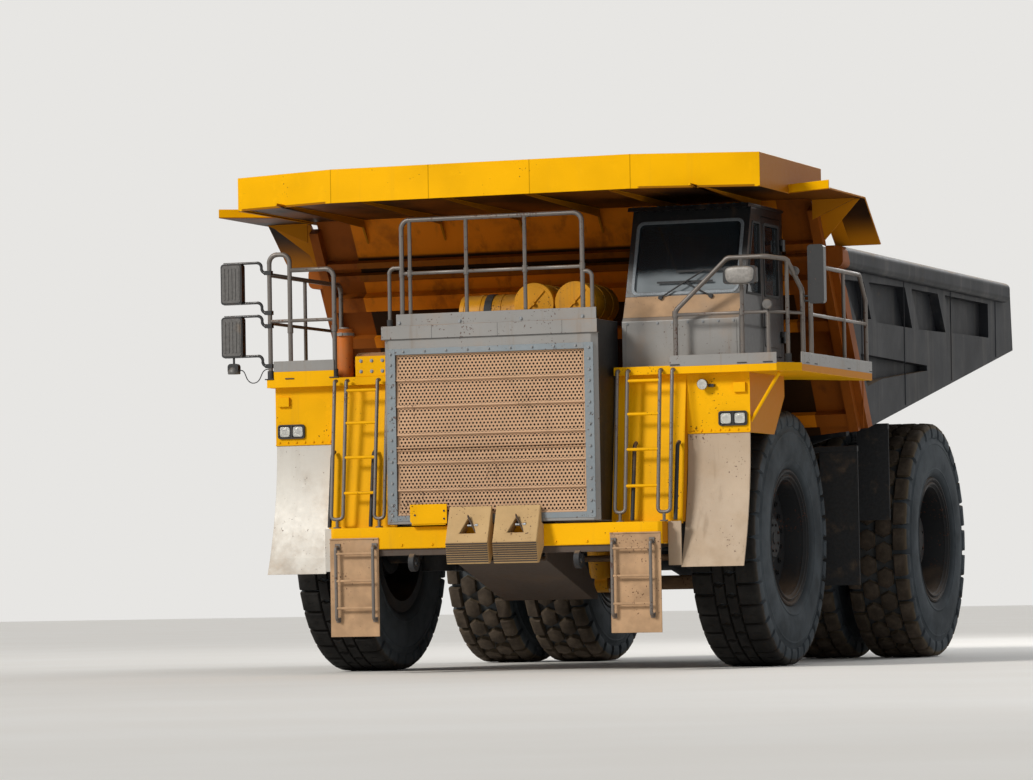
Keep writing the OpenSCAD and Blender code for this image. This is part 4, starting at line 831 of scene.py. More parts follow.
class Repeat:
    """Geometry Nodes tree that sets copies of a small piece on rings, rows or sheets."""

    def __init__(self, name: str, sizes: Mapping[str, tuple[str, Any]]) -> None:
        """Starts a tree.

        Args:
            name: Name of the tree.
            sizes: Named inputs with their socket type and default value.
        """
        self.tree = bpy.data.node_groups.new(name, "GeometryNodeTree")
        face = self.tree.interface
        face.new_socket(name="Geometry", in_out="OUTPUT", socket_type="NodeSocketGeometry")
        face.new_socket(name="Geometry", in_out="INPUT", socket_type="NodeSocketGeometry")
        self.keys: dict[str, str] = {}
        common = {"Piece": ("NodeSocketObject", None), "Finish": ("NodeSocketMaterial", None)}
        for key, (kind, value) in {**common, **sizes}.items():
            made = face.new_socket(name=key, in_out="INPUT", socket_type=kind)
            if value is not None:
                made.default_value = value
            self.keys[key] = made.identifier
        self.inputs = self.tree.nodes.new("NodeGroupInput")

    def node(self, kind: str, settings: Mapping[str, Any], values: Mapping[Any, Any],
             out: Any = 0) -> Any:
        """Adds a node and returns one of its outputs; text values name the tree's inputs."""
        made = self.tree.nodes.new(kind)
        for key, value in settings.items():
            setattr(made, key, value)
        for key, value in values.items():
            if isinstance(value, str):
                value = self.inputs.outputs[value]
            if isinstance(value, bpy.types.NodeSocket):
                self.tree.links.new(value, made.inputs[key])
            else:
                made.inputs[key].default_value = value
        return made.outputs[out]

    def maths(self, operation: str, *values: Any) -> Any:
        """Adds a Math node."""
        return self.node("ShaderNodeMath", {"operation": operation}, dict(enumerate(values)))

    def close(self, places: Any, turn: Any) -> None:
        """Sets the piece on the places, makes it real and gives it its finish."""
        piece = self.node("GeometryNodeObjectInfo", {}, {"Object": "Piece"}, "Geometry")
        copies = self.node("GeometryNodeInstanceOnPoints", {},
                           {"Points": places, "Instance": piece, "Rotation": turn})
        real = self.node("GeometryNodeRealizeInstances", {}, {"Geometry": copies})
        done = self.node("GeometryNodeSetMaterial", {}, {"Geometry": real, "Material": "Finish"})
        out = self.tree.nodes.new("NodeGroupOutput")
        self.tree.links.new(done, out.inputs[0])

    def piece(self, name: str, shape: Shape, finish: Finish, body: Body, replaces: Sequence[str] = (),
              angle: float = 35.0, **sizes: Any) -> bpy.types.Object:
        """Runs the tree and keeps the result as a plain piece.

        Args:
            name: Name of the piece.
            shape: Small shape that is repeated.
            finish: Finish of every copy.
            body: Body that the piece rides on.
            replaces: Nodes of the frame that it stands for.
            angle: Edges sharper than this stay sharp, in degrees.
            **sizes: Values of the tree's named inputs.

        Returns:
            The object.
        """
        unit = placed(name + "_unit", shape.mesh(name + "_unit"))
        host = placed(name + "_host", bpy.data.meshes.new(name + "_host"))
        run = host.modifiers.new("repeat", "NODES")
        run.node_group = self.tree
        values = {"Piece": unit, "Finish": material(finish), **sizes}
        for key, value in values.items():
            run[self.keys[key]] = value
        bpy.context.view_layer.update()
        evaluated = host.evaluated_get(bpy.context.evaluated_depsgraph_get())
        mesh = bpy.data.meshes.new_from_object(evaluated)
        mesh.name = name
        bpy.data.objects.remove(host)
        bpy.data.objects.remove(unit)
        return finished(mesh, name, finish, body, 0.0, replaces, angle)


class Ring(Repeat):
    """Copies round an axle along X; the small shape stands above the axle at its own radius."""

    def __init__(self) -> None:
        """Builds the tree."""
        super().__init__("ring_of_pieces", {
            "Count": ("NodeSocketInt", 24), "Centre": ("NodeSocketVector", None),
            "Phase": ("NodeSocketFloat", 0.0), "Flip": ("NodeSocketFloat", 0.0)})
        places = self.node("GeometryNodePoints", {}, {"Count": "Count", "Position": "Centre"})
        index = self.node("GeometryNodeInputIndex", {}, {})
        share = self.maths("DIVIDE", self.maths("ADD", index, "Phase"), "Count")
        around = self.maths("MULTIPLY", share, 2 * math.pi)
        turn = self.node("ShaderNodeCombineXYZ", {}, {"X": around, "Z": "Flip"})
        self.close(places, turn)


class Row(Repeat):
    """Copies in a straight row between two points."""

    def __init__(self) -> None:
        """Builds the tree."""
        super().__init__("row_of_pieces", {
            "Count": ("NodeSocketInt", 8), "Start": ("NodeSocketVector", None),
            "End": ("NodeSocketVector", None)})
        line = self.node("GeometryNodeMeshLine", {"mode": "END_POINTS"},
                         {"Count": "Count", "Start Location": "Start", "Offset": "End"})
        self.close(line, (0.0, 0.0, 0.0))


class Sheet(Repeat):
    """Copies on a staggered upright sheet, as in perforated plate."""

    def __init__(self) -> None:
        """Builds the tree."""
        super().__init__("staggered_sheet", {
            "Columns": ("NodeSocketInt", 10), "Rows": ("NodeSocketInt", 4),
            "Pitch": ("NodeSocketFloat", 0.04), "Row_Pitch": ("NodeSocketFloat", 0.035),
            "Corner": ("NodeSocketVector", None), "Lean": ("NodeSocketFloat", 0.0)})
        wide = self.maths("MULTIPLY", self.maths("SUBTRACT", "Columns", 1.0), "Pitch")
        tall = self.maths("MULTIPLY", self.maths("SUBTRACT", "Rows", 1.0), "Row_Pitch")
        half_wide, half_tall = self.maths("MULTIPLY", wide, 0.5), self.maths("MULTIPLY", tall, 0.5)
        grid = self.node("GeometryNodeMeshGrid", {}, {
            "Size X": wide, "Size Y": tall, "Vertices X": "Columns", "Vertices Y": "Rows"})
        here = self.node("GeometryNodeInputPosition", {}, {})
        y = self.node("ShaderNodeSeparateXYZ", {}, {"Vector": here}, "Y")
        row = self.maths("ROUND", self.maths("DIVIDE", self.maths("ADD", y, half_tall), "Row_Pitch"))
        shift = self.maths("MULTIPLY", self.maths("MODULO", row, 2.0),
                           self.maths("MULTIPLY", "Pitch", 0.5))
        offset = self.node("ShaderNodeCombineXYZ", {}, {
            "X": self.maths("ADD", shift, half_wide), "Y": half_tall})
        staggered = self.node("GeometryNodeSetPosition", {}, {"Geometry": grid, "Offset": offset})
        lean = self.node("ShaderNodeCombineXYZ", {}, {"X": "Lean"})
        upright = self.node("GeometryNodeTransform", {}, {
            "Geometry": staggered, "Translation": "Corner", "Rotation": lean})
        self.close(upright, lean)


class Trees:
    """The trees, each built once."""

    ring: Ring
    row: Row
    sheet: Sheet

    @classmethod
    def build(cls) -> None:
        """Builds the trees."""
        cls.ring, cls.row, cls.sheet = Ring(), Row(), Sheet()


def bolt(size: float, head: float) -> Shape:
    """Hexagon bolt head on its washer, pointing along -Y from the origin."""
    shape = Shape()
    shape.disc((0, 0.001, 0), (0, -0.003, 0), size * 1.35, 14)
    shape.disc((0, -0.002, 0), (0, -head, 0), size, 6, size * 0.94)
    return shape


def bolt_row(name: str, size: float, head: float, count: int, start: Point, end: Point,
             finish: Finish = Finish.BOLT) -> None:
    """Sets a row of bolt heads on a front face of the chassis, between two points."""
    Trees.row.piece(name, bolt(size, head), finish, Body.CHASSIS, Count=count, Start=start, End=end)


def axle_bolt(radius: float, face: float, size: float, head: float) -> Shape:
    """Nut at a radius above the axle, pointing outboard along +X from a face."""
    shape = Shape()
    shape.disc((face - 0.002, 0, radius), (face + 0.005, 0, radius), size * 1.4, 14)
    shape.disc((face + 0.004, 0, radius), (face + head, 0, radius), size, 6, size * 0.92)
    return shape


# Wheels


class TreadKind(Enum):
    """Tread pattern."""

    ROAD_BLOCKS = "shoulder lugs with slots and two rows of middle blocks"
    ROCK_BLOCKS = "rounded six-sided blocks"


@dataclass
class Tyre:
    """Tyre with its casing and tread."""

    name: str
    centre: Point
    out: float
    kind: TreadKind
    body: Body
    node: str
    lugs: int = 34
    crown: float = 1.333
    base: float = 1.262
    edge: float = 0.345

    PROFILE = ((0.622, 0.262), (0.622, 0.297), (0.690, 0.299), (0.714, 0.310), (0.726, 0.328),
               (0.748, 0.346), (0.778, 0.358), (0.796, 0.364), (0.804, 0.371), (0.814, 0.371),
               (0.822, 0.366), (0.870, 0.374), (0.930, 0.379), (0.990, 0.378), (1.050, 0.371),
               (1.086, 0.365), (1.092, 0.369), (1.104, 0.368), (1.112, 0.361), (1.150, 0.351),
               (1.200, 0.337), (1.238, 0.322), (1.256, 0.295), (1.262, 0.240))

    def finish(self) -> Finish:
        """Rubber of this tyre."""
        return Finish.FRONT_TYRE if self.kind is TreadKind.ROAD_BLOCKS else Finish.REAR_TYRE

    def polar(self, around: float, across: float, radius: float) -> Point:
        """Point above the axle, from a distance round the tread and one along the axle."""
        turn = around / self.crown
        return (across, radius * math.sin(turn), radius * math.cos(turn))

    def block(self, outline: Sequence[Flat], lean: float) -> Shape:
        """Tread block with chamfered edges from an outline of (round, across) distances."""
        mid = [sum(values) / len(outline) for values in zip(*outline)]

        def ring(radius: float, inset: float) -> list[Point]:
            """Outline drawn in towards its middle at a radius."""
            points = []
            for u, v in outline:
                away = math.hypot(u - mid[0], v - mid[1])
                share = 1 - inset / away
                around, across = mid[0] + (u - mid[0]) * share, mid[1] + (v - mid[1]) * share
                points.append(self.polar(around, across, radius))
            return points

        return loft([ring(self.base - 0.01, -0.008), ring(self.base + 0.012, 0.0),
                     ring(self.crown - 0.012, lean * 0.35), ring(self.crown, lean * 1.7)])

    def shoulder_lug(self, inner: float, length: float, slot: bool) -> Shape:
        """Shoulder lug that wraps over the edge down the wall, with an optional small slot."""
        half, crown, base, edge, chamfer = length / 2, self.crown, self.base, self.edge, 0.012
        rows = [(inner, crown - 0.014, 0.0), (inner + 0.012, crown, 0.0), (edge - 0.09, crown - 0.001, 0.0),
                (edge - 0.030, crown - 0.006, 0.0), (edge + 0.002, crown - 0.030, 0.004),
                (edge + 0.018, crown - 0.085, 0.012), (edge + 0.023, crown - 0.135, 0.020),
                (edge + 0.014, crown - 0.168, 0.034)]
        top: list[Point] = []
        for across, radius, narrow in rows:
            h, fall = half - narrow, chamfer if across < edge else chamfer * 0.3
            for u, drop in ((-h, fall), (-h + chamfer, 0.0), (h - chamfer, 0.0), (h, fall)):
                top.append(self.polar(u, across, radius - drop))
        foot = [(inner - 0.004, base - 0.012, 0.0), (inner + 0.012, base - 0.012, 0.0),
                (edge - 0.09, base - 0.012, 0.0), (edge - 0.05, base - 0.014, 0.0),
                (edge - 0.04, base - 0.03, 0.0), (edge - 0.035, base - 0.06, 0.004),
                (edge - 0.02, base - 0.085, 0.010), (edge - 0.01, base - 0.105, 0.030)]
        low = [self.polar(sign * (half + 0.004 - narrow), across, radius)
               for across, radius, narrow in foot for sign in (-1, 1)]
        n = len(rows)
        faces: list[tuple[int, ...]] = []
        for r in range(n - 1):
            for k in range(3):
                a = r * 4 + k
                faces.append((a, a + 1, a + 5, a + 4))
            b = 4 * n + 2 * r
            faces += [(r * 4, r * 4 + 4, b + 2, b), (r * 4 + 3, b + 1, b + 3, r * 4 + 7),
                      (b, b + 2, b + 3, b + 1)]
        faces += [(0, 4 * n, 4 * n + 1, 3, 2, 1),
                  (4 * n - 4, 4 * n - 3, 4 * n - 2, 4 * n - 1, 6 * n - 1, 6 * n - 2)]
        shape = Shape().add(top + low, faces)
        if slot:
            wide, near, far = 0.006, inner + 0.085, inner + 0.145
            outline = ((-wide, near), (wide, near), (wide, far), (-wide, far))
            shape.add([self.polar(u, v, crown + lift) for lift in (-0.004, 0.0012) for u, v in outline],
                      skin(2, 4))
        return shape

    def build(self) -> None:
        """Builds casing and tread."""
        ring = [*self.PROFILE, (self.base + 0.004, 0.0), *((r, -x) for r, x in self.PROFILE[::-1])]
        casing = Shape().lathe(ring, self.centre, self.out, 112)
        casing.piece(self.name + "_casing", self.finish(), self.body, replaces=[self.node])
        pitch = 2 * math.pi * self.crown / self.lugs
        if self.kind is TreadKind.ROAD_BLOCKS:
            shoulder = self.shoulder_lug(0.128, pitch - 0.030, True)
            half, notch = pitch / 2 - 0.007, 0.02
            middle = self.block([(-half, 0.008), (half, 0.008), (half - notch, 0.062), (half, 0.116),
                                 (-half, 0.116), (-half + notch, 0.062)], 0.008)
        else:
            shoulder = self.shoulder_lug(0.205, pitch - 0.052, False)
            half = pitch / 2 - 0.022
            middle = self.block([(-half, 0.10), (-half * 0.62, 0.182), (half * 0.62, 0.182), (half, 0.10),
                                 (half * 0.60, 0.004), (-half * 0.60, 0.004)], 0.016)
        self.tread("shoulder", shoulder, 0.0, 0.5)
        self.tread("middle", middle, 0.5, 0.0)

    def tread(self, row: str, lug: Shape, near: float, far: float) -> None:
        """Sets one kind of lug round the tyre, on its outboard and inboard halves."""
        for side, phase, flip in (("outer", near, 0.0), ("inner", far, math.pi)):
            turned = flip if self.out > 0 else math.pi - flip
            Trees.ring.piece(f"{self.name}_{row}_{side}", lug, self.finish(), self.body, angle=38.0,
                             Count=self.lugs, Centre=self.centre, Phase=phase, Flip=turned)


@dataclass
class Wheel:
    """Rim with its rings, disc, hub and nuts."""

    name: str
    centre: Point
    out: float
    body: Body
    node: str
    rear: bool = False

    BARREL = ((0.590, -0.330), (0.702, -0.330), (0.714, -0.322), (0.714, -0.305), (0.704, -0.299),
              (0.6215, -0.298), (0.6215, 0.298), (0.704, 0.299), (0.714, 0.305), (0.715, 0.320),
              (0.707, 0.331), (0.690, 0.334), (0.676, 0.326), (0.668, 0.312), (0.658, 0.311),
              (0.652, 0.324), (0.642, 0.331), (0.630, 0.326), (0.622, 0.310), (0.612, 0.300),
              (0.604, 0.296), (0.598, 0.262), (0.590, 0.250))
    SPACER = ((0.588, -0.625), (0.620, -0.625), (0.620, -0.325), (0.588, -0.325))
    FRONT_DISC = ((0.295, -0.035), (0.440, 0.010), (0.594, 0.050), (0.594, 0.095), (0.560, 0.100),
                  (0.520, 0.078), (0.440, 0.055), (0.360, 0.030), (0.295, 0.014))
    FRONT_HUB = ((0.115, -0.210), (0.295, -0.210), (0.300, -0.190), (0.300, 0.092), (0.290, 0.110),
                 (0.268, 0.120), (0.214, 0.122), (0.208, 0.156), (0.198, 0.165), (0.070, 0.166),
                 (0.062, 0.176), (0.0, 0.178), (0.0, 0.085), (0.115, 0.085))
    FRONT_NUTS = ((20, 0.505, 0.078, 0.022), (14, 0.242, 0.121, 0.014), (8, 0.145, 0.166, 0.012))
    REAR_DISC = ((0.375, -0.150), (0.594, -0.150), (0.594, -0.100), (0.560, -0.096), (0.520, -0.100),
                 (0.375, -0.100))
    REAR_HUB = ((0.0, -1.09), (0.378, -1.09), (0.380, 0.045), (0.366, 0.060), (0.318, 0.062),
                (0.312, 0.118), (0.300, 0.130), (0.168, 0.134), (0.150, 0.142), (0.144, 0.158),
                (0.0, 0.160))
    REAR_NUTS = ((24, 0.470, -0.100, 0.024), (16, 0.340, 0.061, 0.016), (8, 0.235, 0.131, 0.014))

    def build(self) -> None:
        """Builds the rim and sets its rings of nuts, each given by count, radius, face and size."""
        disc, hub, nuts = ((self.REAR_DISC, self.REAR_HUB, self.REAR_NUTS) if self.rear
                           else (self.FRONT_DISC, self.FRONT_HUB, self.FRONT_NUTS))
        shape = Shape().lathe(self.BARREL, self.centre, self.out, 112)
        for profile in (disc, hub):
            shape.lathe(profile, self.centre, self.out)
        shape.piece(self.name + "_rim", Finish.WHEEL, self.body, replaces=[self.node])
        for k, (count, radius, face, size) in enumerate(nuts):
            nut = axle_bolt(radius, face, size, size * 1.05)
            Trees.ring.piece(f"{self.name}_nuts_{k}", nut, Finish.WHEEL, self.body, Count=count,
                             Centre=self.centre, Phase=0.5, Flip=0.0 if self.out > 0 else math.pi)


@dataclass
class RunningGear:
    """All wheels, with the bodies and nodes they belong to."""

    front_x: float = 2.18
    outer_x: float = 2.40
    inner_x: float = 1.49

    def build(self) -> None:
        """Builds the wheels."""
        for side, word in SIDES.items():
            front, rear = Body(f"wheel_front_{word}"), Body(f"wheels_rear_{word}")
            steered = (side * self.front_x, station(0.0), AXLE_Z)
            tyre, rim, tyres, rims = (f"{kind}_{word}" for kind in (
                "tyre_front", "rim_front", "tyres_rear", "rims_rear"))
            Tyre(f"front_{word}_tyre", steered, side, TreadKind.ROAD_BLOCKS, front, tyre).build()
            Wheel(f"front_{word}_wheel", steered, side, front, rim).build()
            outer, inner = ((side * x, station(WHEELBASE), AXLE_Z) for x in (self.outer_x, self.inner_x))
            Tyre(f"rear_{word}_outer_tyre", outer, side, TreadKind.ROCK_BLOCKS, rear, tyres, 28).build()
            Wheel(f"rear_{word}_outer_wheel", outer, side, rear, rims, rear=True).build()
            Tyre(f"rear_{word}_inner_tyre", inner, -side, TreadKind.ROCK_BLOCKS, rear, tyres, 28).build()
            band = Shape().lathe(Wheel.BARREL, inner, -side).lathe(Wheel.SPACER, outer, side)
            band.piece(f"rear_{word}_inner_wheel_rim", Finish.WHEEL, rear, replaces=[rims])


# Outlines and small parts


def rounded_rect(x0: float, z0: float, x1: float, z1: float, radius: float, steps: int = 5) -> list[Flat]:
    """Outline of a rectangle with round corners."""
    outline = []
    left, low, right, high = x0 + radius, z0 + radius, x1 - radius, z1 - radius
    for cx, cz, start in ((right, high, 0), (left, high, 90), (left, low, 180), (right, low, 270)):
        for k in range(steps + 1):
            turn = math.radians(start + 90 * k / steps)
            outline.append((cx + radius * math.cos(turn), cz + radius * math.sin(turn)))
    return outline


def border(outer: Sequence[Flat], inner: Sequence[Flat], axis: Axis, low: float, high: float) -> Shape:
    """Ring between two outlines with the same number of points."""
    n = len(outer)
    points = [axis.lift(flat, end) for end in (low, high) for flat in (*outer, *inner)]
    faces = []
    for k in range(n):
        j = (k + 1) % n
        for a, b in ((0, 1), (1, 3), (3, 2), (2, 0)):
            faces.append((a * n + k, a * n + j, b * n + j, b * n + k))
    return Shape().add(points, faces)


def loft(rings: Sequence[Sequence[Point]]) -> Shape:
    """Closed skin over a row of outlines with the same number of points."""
    return Shape().add([p for ring in rings for p in ring], skin(len(rings), len(rings[0])))


def moved(shape: Shape, matrix: Matrix) -> Shape:
    """The same shape, turned and moved."""
    return Shape().add([tuple(matrix @ Vector(p)) for p in shape.points], shape.faces)


# Front end


@dataclass
class Radiator:
    """Radiator housing with its perforated louvres."""

    front: float = station(-2.15)
    half: float = 1.03
    strip: float = 0.098
    surround: float = 0.065
    cap_half: float = 1.179
    cap_seam: float = 3.43
    toe_bolts: float = 3.60
    breaks: tuple[float, ...] = (1.62, 1.87, 2.15, 2.44, 2.73, 3.00, 3.27)
    pitch: float = 0.0405
    columns: int = 50
    hole: float = 0.0125
    sheet: float = 0.004
    row_step: float = 0.0351
    fins: int = 103
    fin_pitch: float = 0.02

    def build(self) -> None:
        """Builds housing, strips, louvres and bolts."""
        copied("radiator", Finish.RADIATOR, bevel=0.007)
        y, half, low, high = self.front, self.half, self.breaks[0], self.breaks[-1]
        bottom, top = low - self.surround, high + self.surround
        strips = Shape().box((half, y - 0.006, bottom), (half + self.strip, y + 0.002, top)).both()
        for z0, z1 in ((high + 0.002, top), (bottom + 0.005, low - 0.002)):
            strips.box((-half, y - 0.005, z0), (half, y + 0.002, z1))
        strips.piece("grille_strips", Finish.ZINC, bevel=0.002)
        seam, wide = self.cap_seam, self.cap_half
        seams = Shape().box((-wide, y - 0.0155, seam - 0.0015), (wide, y - 0.003, seam + 0.0015))
        for x in (-0.62, 0.10, 0.80):
            seams.box((x, y - 0.0150, seam + 0.002), (x + 0.003, y - 0.010, seam + 0.138))
        seams.piece("cap_seams", Finish.SEAL)
        self.louvres()
        for side, word in SIDES.items():
            start, end = ((side * (half + 0.052), y - 0.006, z) for z in (low, high + 0.01))
            bolt_row(f"strip_bolts_{word}", 0.013, 0.014, 16, start, end)
        for name, size, head, count, x0, x1, face, z in (
                ("strip_bolts_top", 0.012, 0.013, 9, -0.94, 0.94, y - 0.005, high + 0.035),
                ("toe_plate_bolts", 0.016, 0.014, 4, -0.98, 1.02, y + 0.004, self.toe_bolts)):
            bolt_row(name, size, head, count, (x0, face, z), (x1, face, z))

    def cell(self, row_pitch: float) -> Shape:
        """One closed six-sided cell of the sheet with its hole, facing up."""
        half, tall, side = self.pitch / 2, row_pitch * 2 / 3, row_pitch / 3
        outer = [(0, tall), (-half, side), (-half, -side), (0, -tall), (half, -side), (half, side)]
        corners = [math.pi / 2 + turn for turn in turns(6)]
        inner = [(self.hole * math.cos(turn), self.hole * math.sin(turn)) for turn in corners]
        return border(outer, inner, Axis.Z, -self.sheet, 0.0)

    def louvres(self) -> None:
        """Builds the leaning bands, their edges and the core behind them."""
        margin, lip, tilt, y, edge = 0.012, 0.016, 0.016, self.front, self.half - 0.001
        edges = Shape()
        for number, (low, high) in enumerate(zip(self.breaks, self.breaks[1:])):
            rise, foot, head = high - low, low + lip, high - margin
            rows = round((head - foot) / self.row_step - 4 / 3) + 1
            row_pitch = (rise - margin - lip) / (rows + 1 / 3)
            start = (-self.pitch * (self.columns - 0.5) / 2, y + 0.012 + tilt * lip / rise,
                     foot + row_pitch * 2 / 3)
            Trees.sheet.piece(f"louvre_{number}", self.cell(row_pitch), Finish.MESH, Body.CHASSIS,
                              replaces=["grille"], Columns=self.columns, Rows=rows, Pitch=self.pitch,
                              Row_Pitch=row_pitch, Corner=start, Lean=math.atan2(rise, tilt))
            back = y + 0.034
            sill = [(y + 0.006, low + 0.001), (back, low + 0.001), (back, foot), (y + 0.012, foot + 0.003)]
            top = [(y + 0.026, head - 0.002), (back, head - 0.002), (back, high), (y + 0.026, high)]
            end = [(y + 0.0135, foot), (back, foot), (back + 0.002, head), (y + 0.0285, head)]
            for outline, x0, x1 in ((sill, -edge, edge), (top, -edge, edge),
                                    (end, -edge, -edge + 0.023), (end, edge - 0.023, edge)):
                edges.prism(outline, Axis.X, x0, x1)
        edges.piece("louvre_edges", Finish.MESH, replaces=["grille"])
        low, high = self.breaks[0], self.breaks[-1]
        core = Shape().box((-edge, y + 0.052, low + 0.001), (edge, y + 0.088, high - 0.001))
        for k in range(self.fins):
            x = self.fin_pitch * (k - (self.fins - 1) / 2)
            core.box((x - 0.0015, y + 0.046, low + 0.01), (x + 0.0015, y + 0.053, high - 0.01))
        core.piece("radiator_core", Finish.CORE)
        bar = Shape()
        for depth, z, radius in ((0.004, 2.315, 0.008), (0.006, 2.285, 0.005)):
            bar.tube([(0.002 - self.half, y + depth, z), (self.half - 0.002, y + depth, z)], radius)
        bar.piece("grille_bar", Finish.MESH)


@dataclass
class Bumper:
    """Bumper beam with lip, towing hooks, blank plate and chocks."""

    front: float = station(-2.11)
    back: float = station(-1.90)
    half: float = 1.807
    low: float = 1.28
    top: float = 1.505
    grille: float = Radiator.front
    hook: Flat = (0.9, 1.14)
    plate: Flat = (-0.885, -0.48)
    chocks: tuple[Flat, ...] = ((-0.44, 0.02), (0.07, 0.55))
    chock_nose: float = station(-2.3395)
    chock_pin: Flat = (station(-2.262), 1.50)
    ribs: int = 9

    def build(self) -> None:
        """Builds the beam and what it carries."""
        half, cut, y, low, (hook_x, hook_z) = self.half, 0.04, self.front, self.low, self.hook
        beam = Shape().prism([(-half, self.back), (-half, y + cut), (-half + cut, y), (half - cut, y),
                              (half, y + cut), (half, self.back)], Axis.Z, low, self.top)
        beam.piece("bumper_beam", Finish.YELLOW, bevel=0.010, replaces=["bumper"])
        # The recessed lip is dark brown: mud and painted shade.
        lip = Shape().box((-half + 0.02, y + 0.025, low - 0.07), (half - 0.02, y + 0.06, low + 0.005))
        lip.piece("bumper_lip", Finish.MUD_AND_SHADE, bevel=0.004)
        hooks = Shape()
        for x in (hook_x, -hook_x):
            hooks.lathe([(0.040, -0.030), (0.095, -0.030), (0.095, 0.030), (0.040, 0.030)],
                        (x, y + 0.06, hook_z), 1.0, 40)
            hooks.box((x - 0.03, y + 0.03, hook_z + 0.055), (x + 0.03, y + 0.16, low + 0.004))
        hooks.piece("towing_hooks", Finish.IRON, bevel=0.004, replaces=["bumper"])
        self.blank_plate()
        start, end = ((x, y + 0.001, low + 0.04) for x in (-1.68, 1.68))
        bolt_row("bumper_bolts", 0.014, 0.012, 11, start, end, Finish.YELLOW)
        self.wheel_chocks()
        # The belly guard is dark brown: mud and painted shade.
        copied("belly_guard", Finish.MUD_AND_SHADE, bevel=0.004)

    def blank_plate(self) -> None:
        """Builds the plate that stands on the beam before the grille, with its foot and bolts."""
        x0, x1 = self.plate
        y, low, high = self.grille, 1.53, 1.73
        plate = Shape().prism([(x0, low + 0.03), (x0 + 0.025, low), (x1, low), (x1, high), (x0, high)],
                              Axis.Y, y - 0.025, y - 0.013)
        for far, z in ((y - 0.0130, low + 0.07), (self.front + 0.03, self.top + 0.012)):
            plate.box((x0 + 0.015, y - 0.0150, self.top - 0.003), (x1 - 0.02, far, z))
        plate.piece("blank_plate", Finish.YELLOW, bevel=0.003)
        for k, (x, z) in enumerate(((x0 + 0.055, 1.62), (x1 - 0.03, 1.66), (x1 - 0.03, 1.58))):
            head = Shape().disc((x, y - 0.024, z), (x, y - 0.033, z), 0.010, 10)
            head.piece(f"plate_bolt_{k}", Finish.SEAL)

    def wheel_chocks(self) -> None:
        """Dresses the chocks with their dark ribs, a painted shadow in each triangular recess, and their
        pins.
        """
        copied("wheel_chocks", Finish.CHOCK, bevel=0.009)
        ribs, pins = Shape(), Shape()
        pin_y, pin_z = self.chock_pin
        for low_x, high_x in self.chocks:
            for k in range(self.ribs):
                share = (k + 0.5) / self.ribs
                y, z = self.chock_nose + 0.035 * share, 1.325 - 0.205 * share
                ribs.prism([(y - 0.011, z + 0.006), (y + 0.01, z + 0.012), (y + 0.01, z - 0.010),
                            (y - 0.009, z - 0.004)], Axis.X, low_x + 0.004, high_x - 0.004)
            mid = (low_x + high_x) / 2
            pins.tube([(mid - 0.01, pin_y, pin_z), (mid + 0.085, pin_y, pin_z)], 0.014)
            pins.disc((mid + 0.075, pin_y, pin_z), (mid + 0.105, pin_y, pin_z), 0.020, 12)
            # Dark triangle lining each recess: painted shadow.
            ribs.prism([(mid - 0.105, 1.405), (mid + 0.105, 1.405), (mid, 1.61), (mid, 1.585),
                        (mid + 0.083, 1.42), (mid - 0.083, 1.42)], Axis.Y, pin_y - 0.034, pin_y)
        ribs.piece("chock_ribs", Finish.MUD_AND_SHADE)
        pins.piece("chock_pins", Finish.BOLT)


@dataclass
class Access:
    """Hanging steps and the leaning ladders above them."""

    step_x: Flat = (1.26, 1.80)
    step_y: float = station(-2.1243)
    hoops: tuple[Flat, ...] = ((1.26, 1.37), (1.72, 1.85))
    rungs: tuple[float, ...] = (1.87, 2.24, 2.60, 2.94)
    foot: Flat = (station(-1.95), 1.60)
    head: Flat = (station(-1.7503), 3.045)

    def build(self) -> None:
        """Builds steps and ladders on both sides."""
        (low, high), y, proud, top = self.step_x, self.step_y, self.step_y - 0.062, 1.40
        plate = Shape().box((low, y, 0.385), (high, y + 0.014, top))
        plate.box((low, y - 0.010, top - 0.015), (high, y + 0.002, top)).both()
        plate.piece("step_plates", Finish.TAN, bevel=0.004, replaces=["access_steps"])
        tubes, treads, rails = Shape(), Shape(), (low + 0.04, high - 0.09)
        for x in rails:
            tubes.tube([(x, y + 0.008, 0.56), (x, proud, 0.56), (x, proud, 1.31), (x, y + 0.008, 1.31)],
                       0.017, 14, 0.04)
            tubes.box((x - 0.028, y - 0.016, 1.285), (x + 0.028, y + 0.001, 1.345))
            tubes.box((x - 0.024, y - 0.014, 0.535), (x + 0.024, y + 0.001, 0.585))
        for z in (0.68, 0.96, 1.24):
            treads.tube([(x, proud, z) for x in rails], 0.0135)
        tubes.both().piece("step_rails", Finish.RAILS, replaces=["access_steps"])
        treads.both().piece("step_rungs", Finish.TAN)
        self.ladders()

    def lean(self, z: float) -> float:
        """Y of the ladder's line at a height."""
        return self.foot[0] + (z - self.foot[1]) * 0.15 / 1.445

    def ladders(self) -> None:
        """Builds hoops, rungs and struts."""
        hoops, rungs, struts = Shape(), Shape(), Shape()
        (foot, low), (head, high) = self.foot, self.head
        side = ((head, high), (self.lean(high), high), (foot, low))
        for first, second in self.hoops:
            path = [(first, y, z) for y, z in side] + [(second, y, z) for y, z in side[::-1]]
            hoops.tube(path, 0.019, 14, 0.05)
            mid = (first + second) / 2
            hoops.tube([(mid, foot, 1.506), (mid, foot, low)], 0.016)
            hoops.disc((mid, foot, 1.505), (mid, foot, 1.520), 0.040, 16)
        for z in self.rungs:
            rungs.tube([(self.hoops[0][1], self.lean(z), z), (self.hoops[1][0], self.lean(z), z)], 0.0165)
        for x in (1.43, 1.89):
            struts.tube([(x, station(-1.905), 1.52), (x, station(-1.790), 2.28),
                         (x, station(-1.735), 2.31)], 0.021, 12, 0.03)
        hoops.both().piece("ladder_hoops", Finish.RAILS, replaces=["ladders"])
        rungs.both().piece("ladder_rungs", Finish.YELLOW, replaces=["ladders"])
        struts.both().piece("ladder_struts", Finish.DARK)


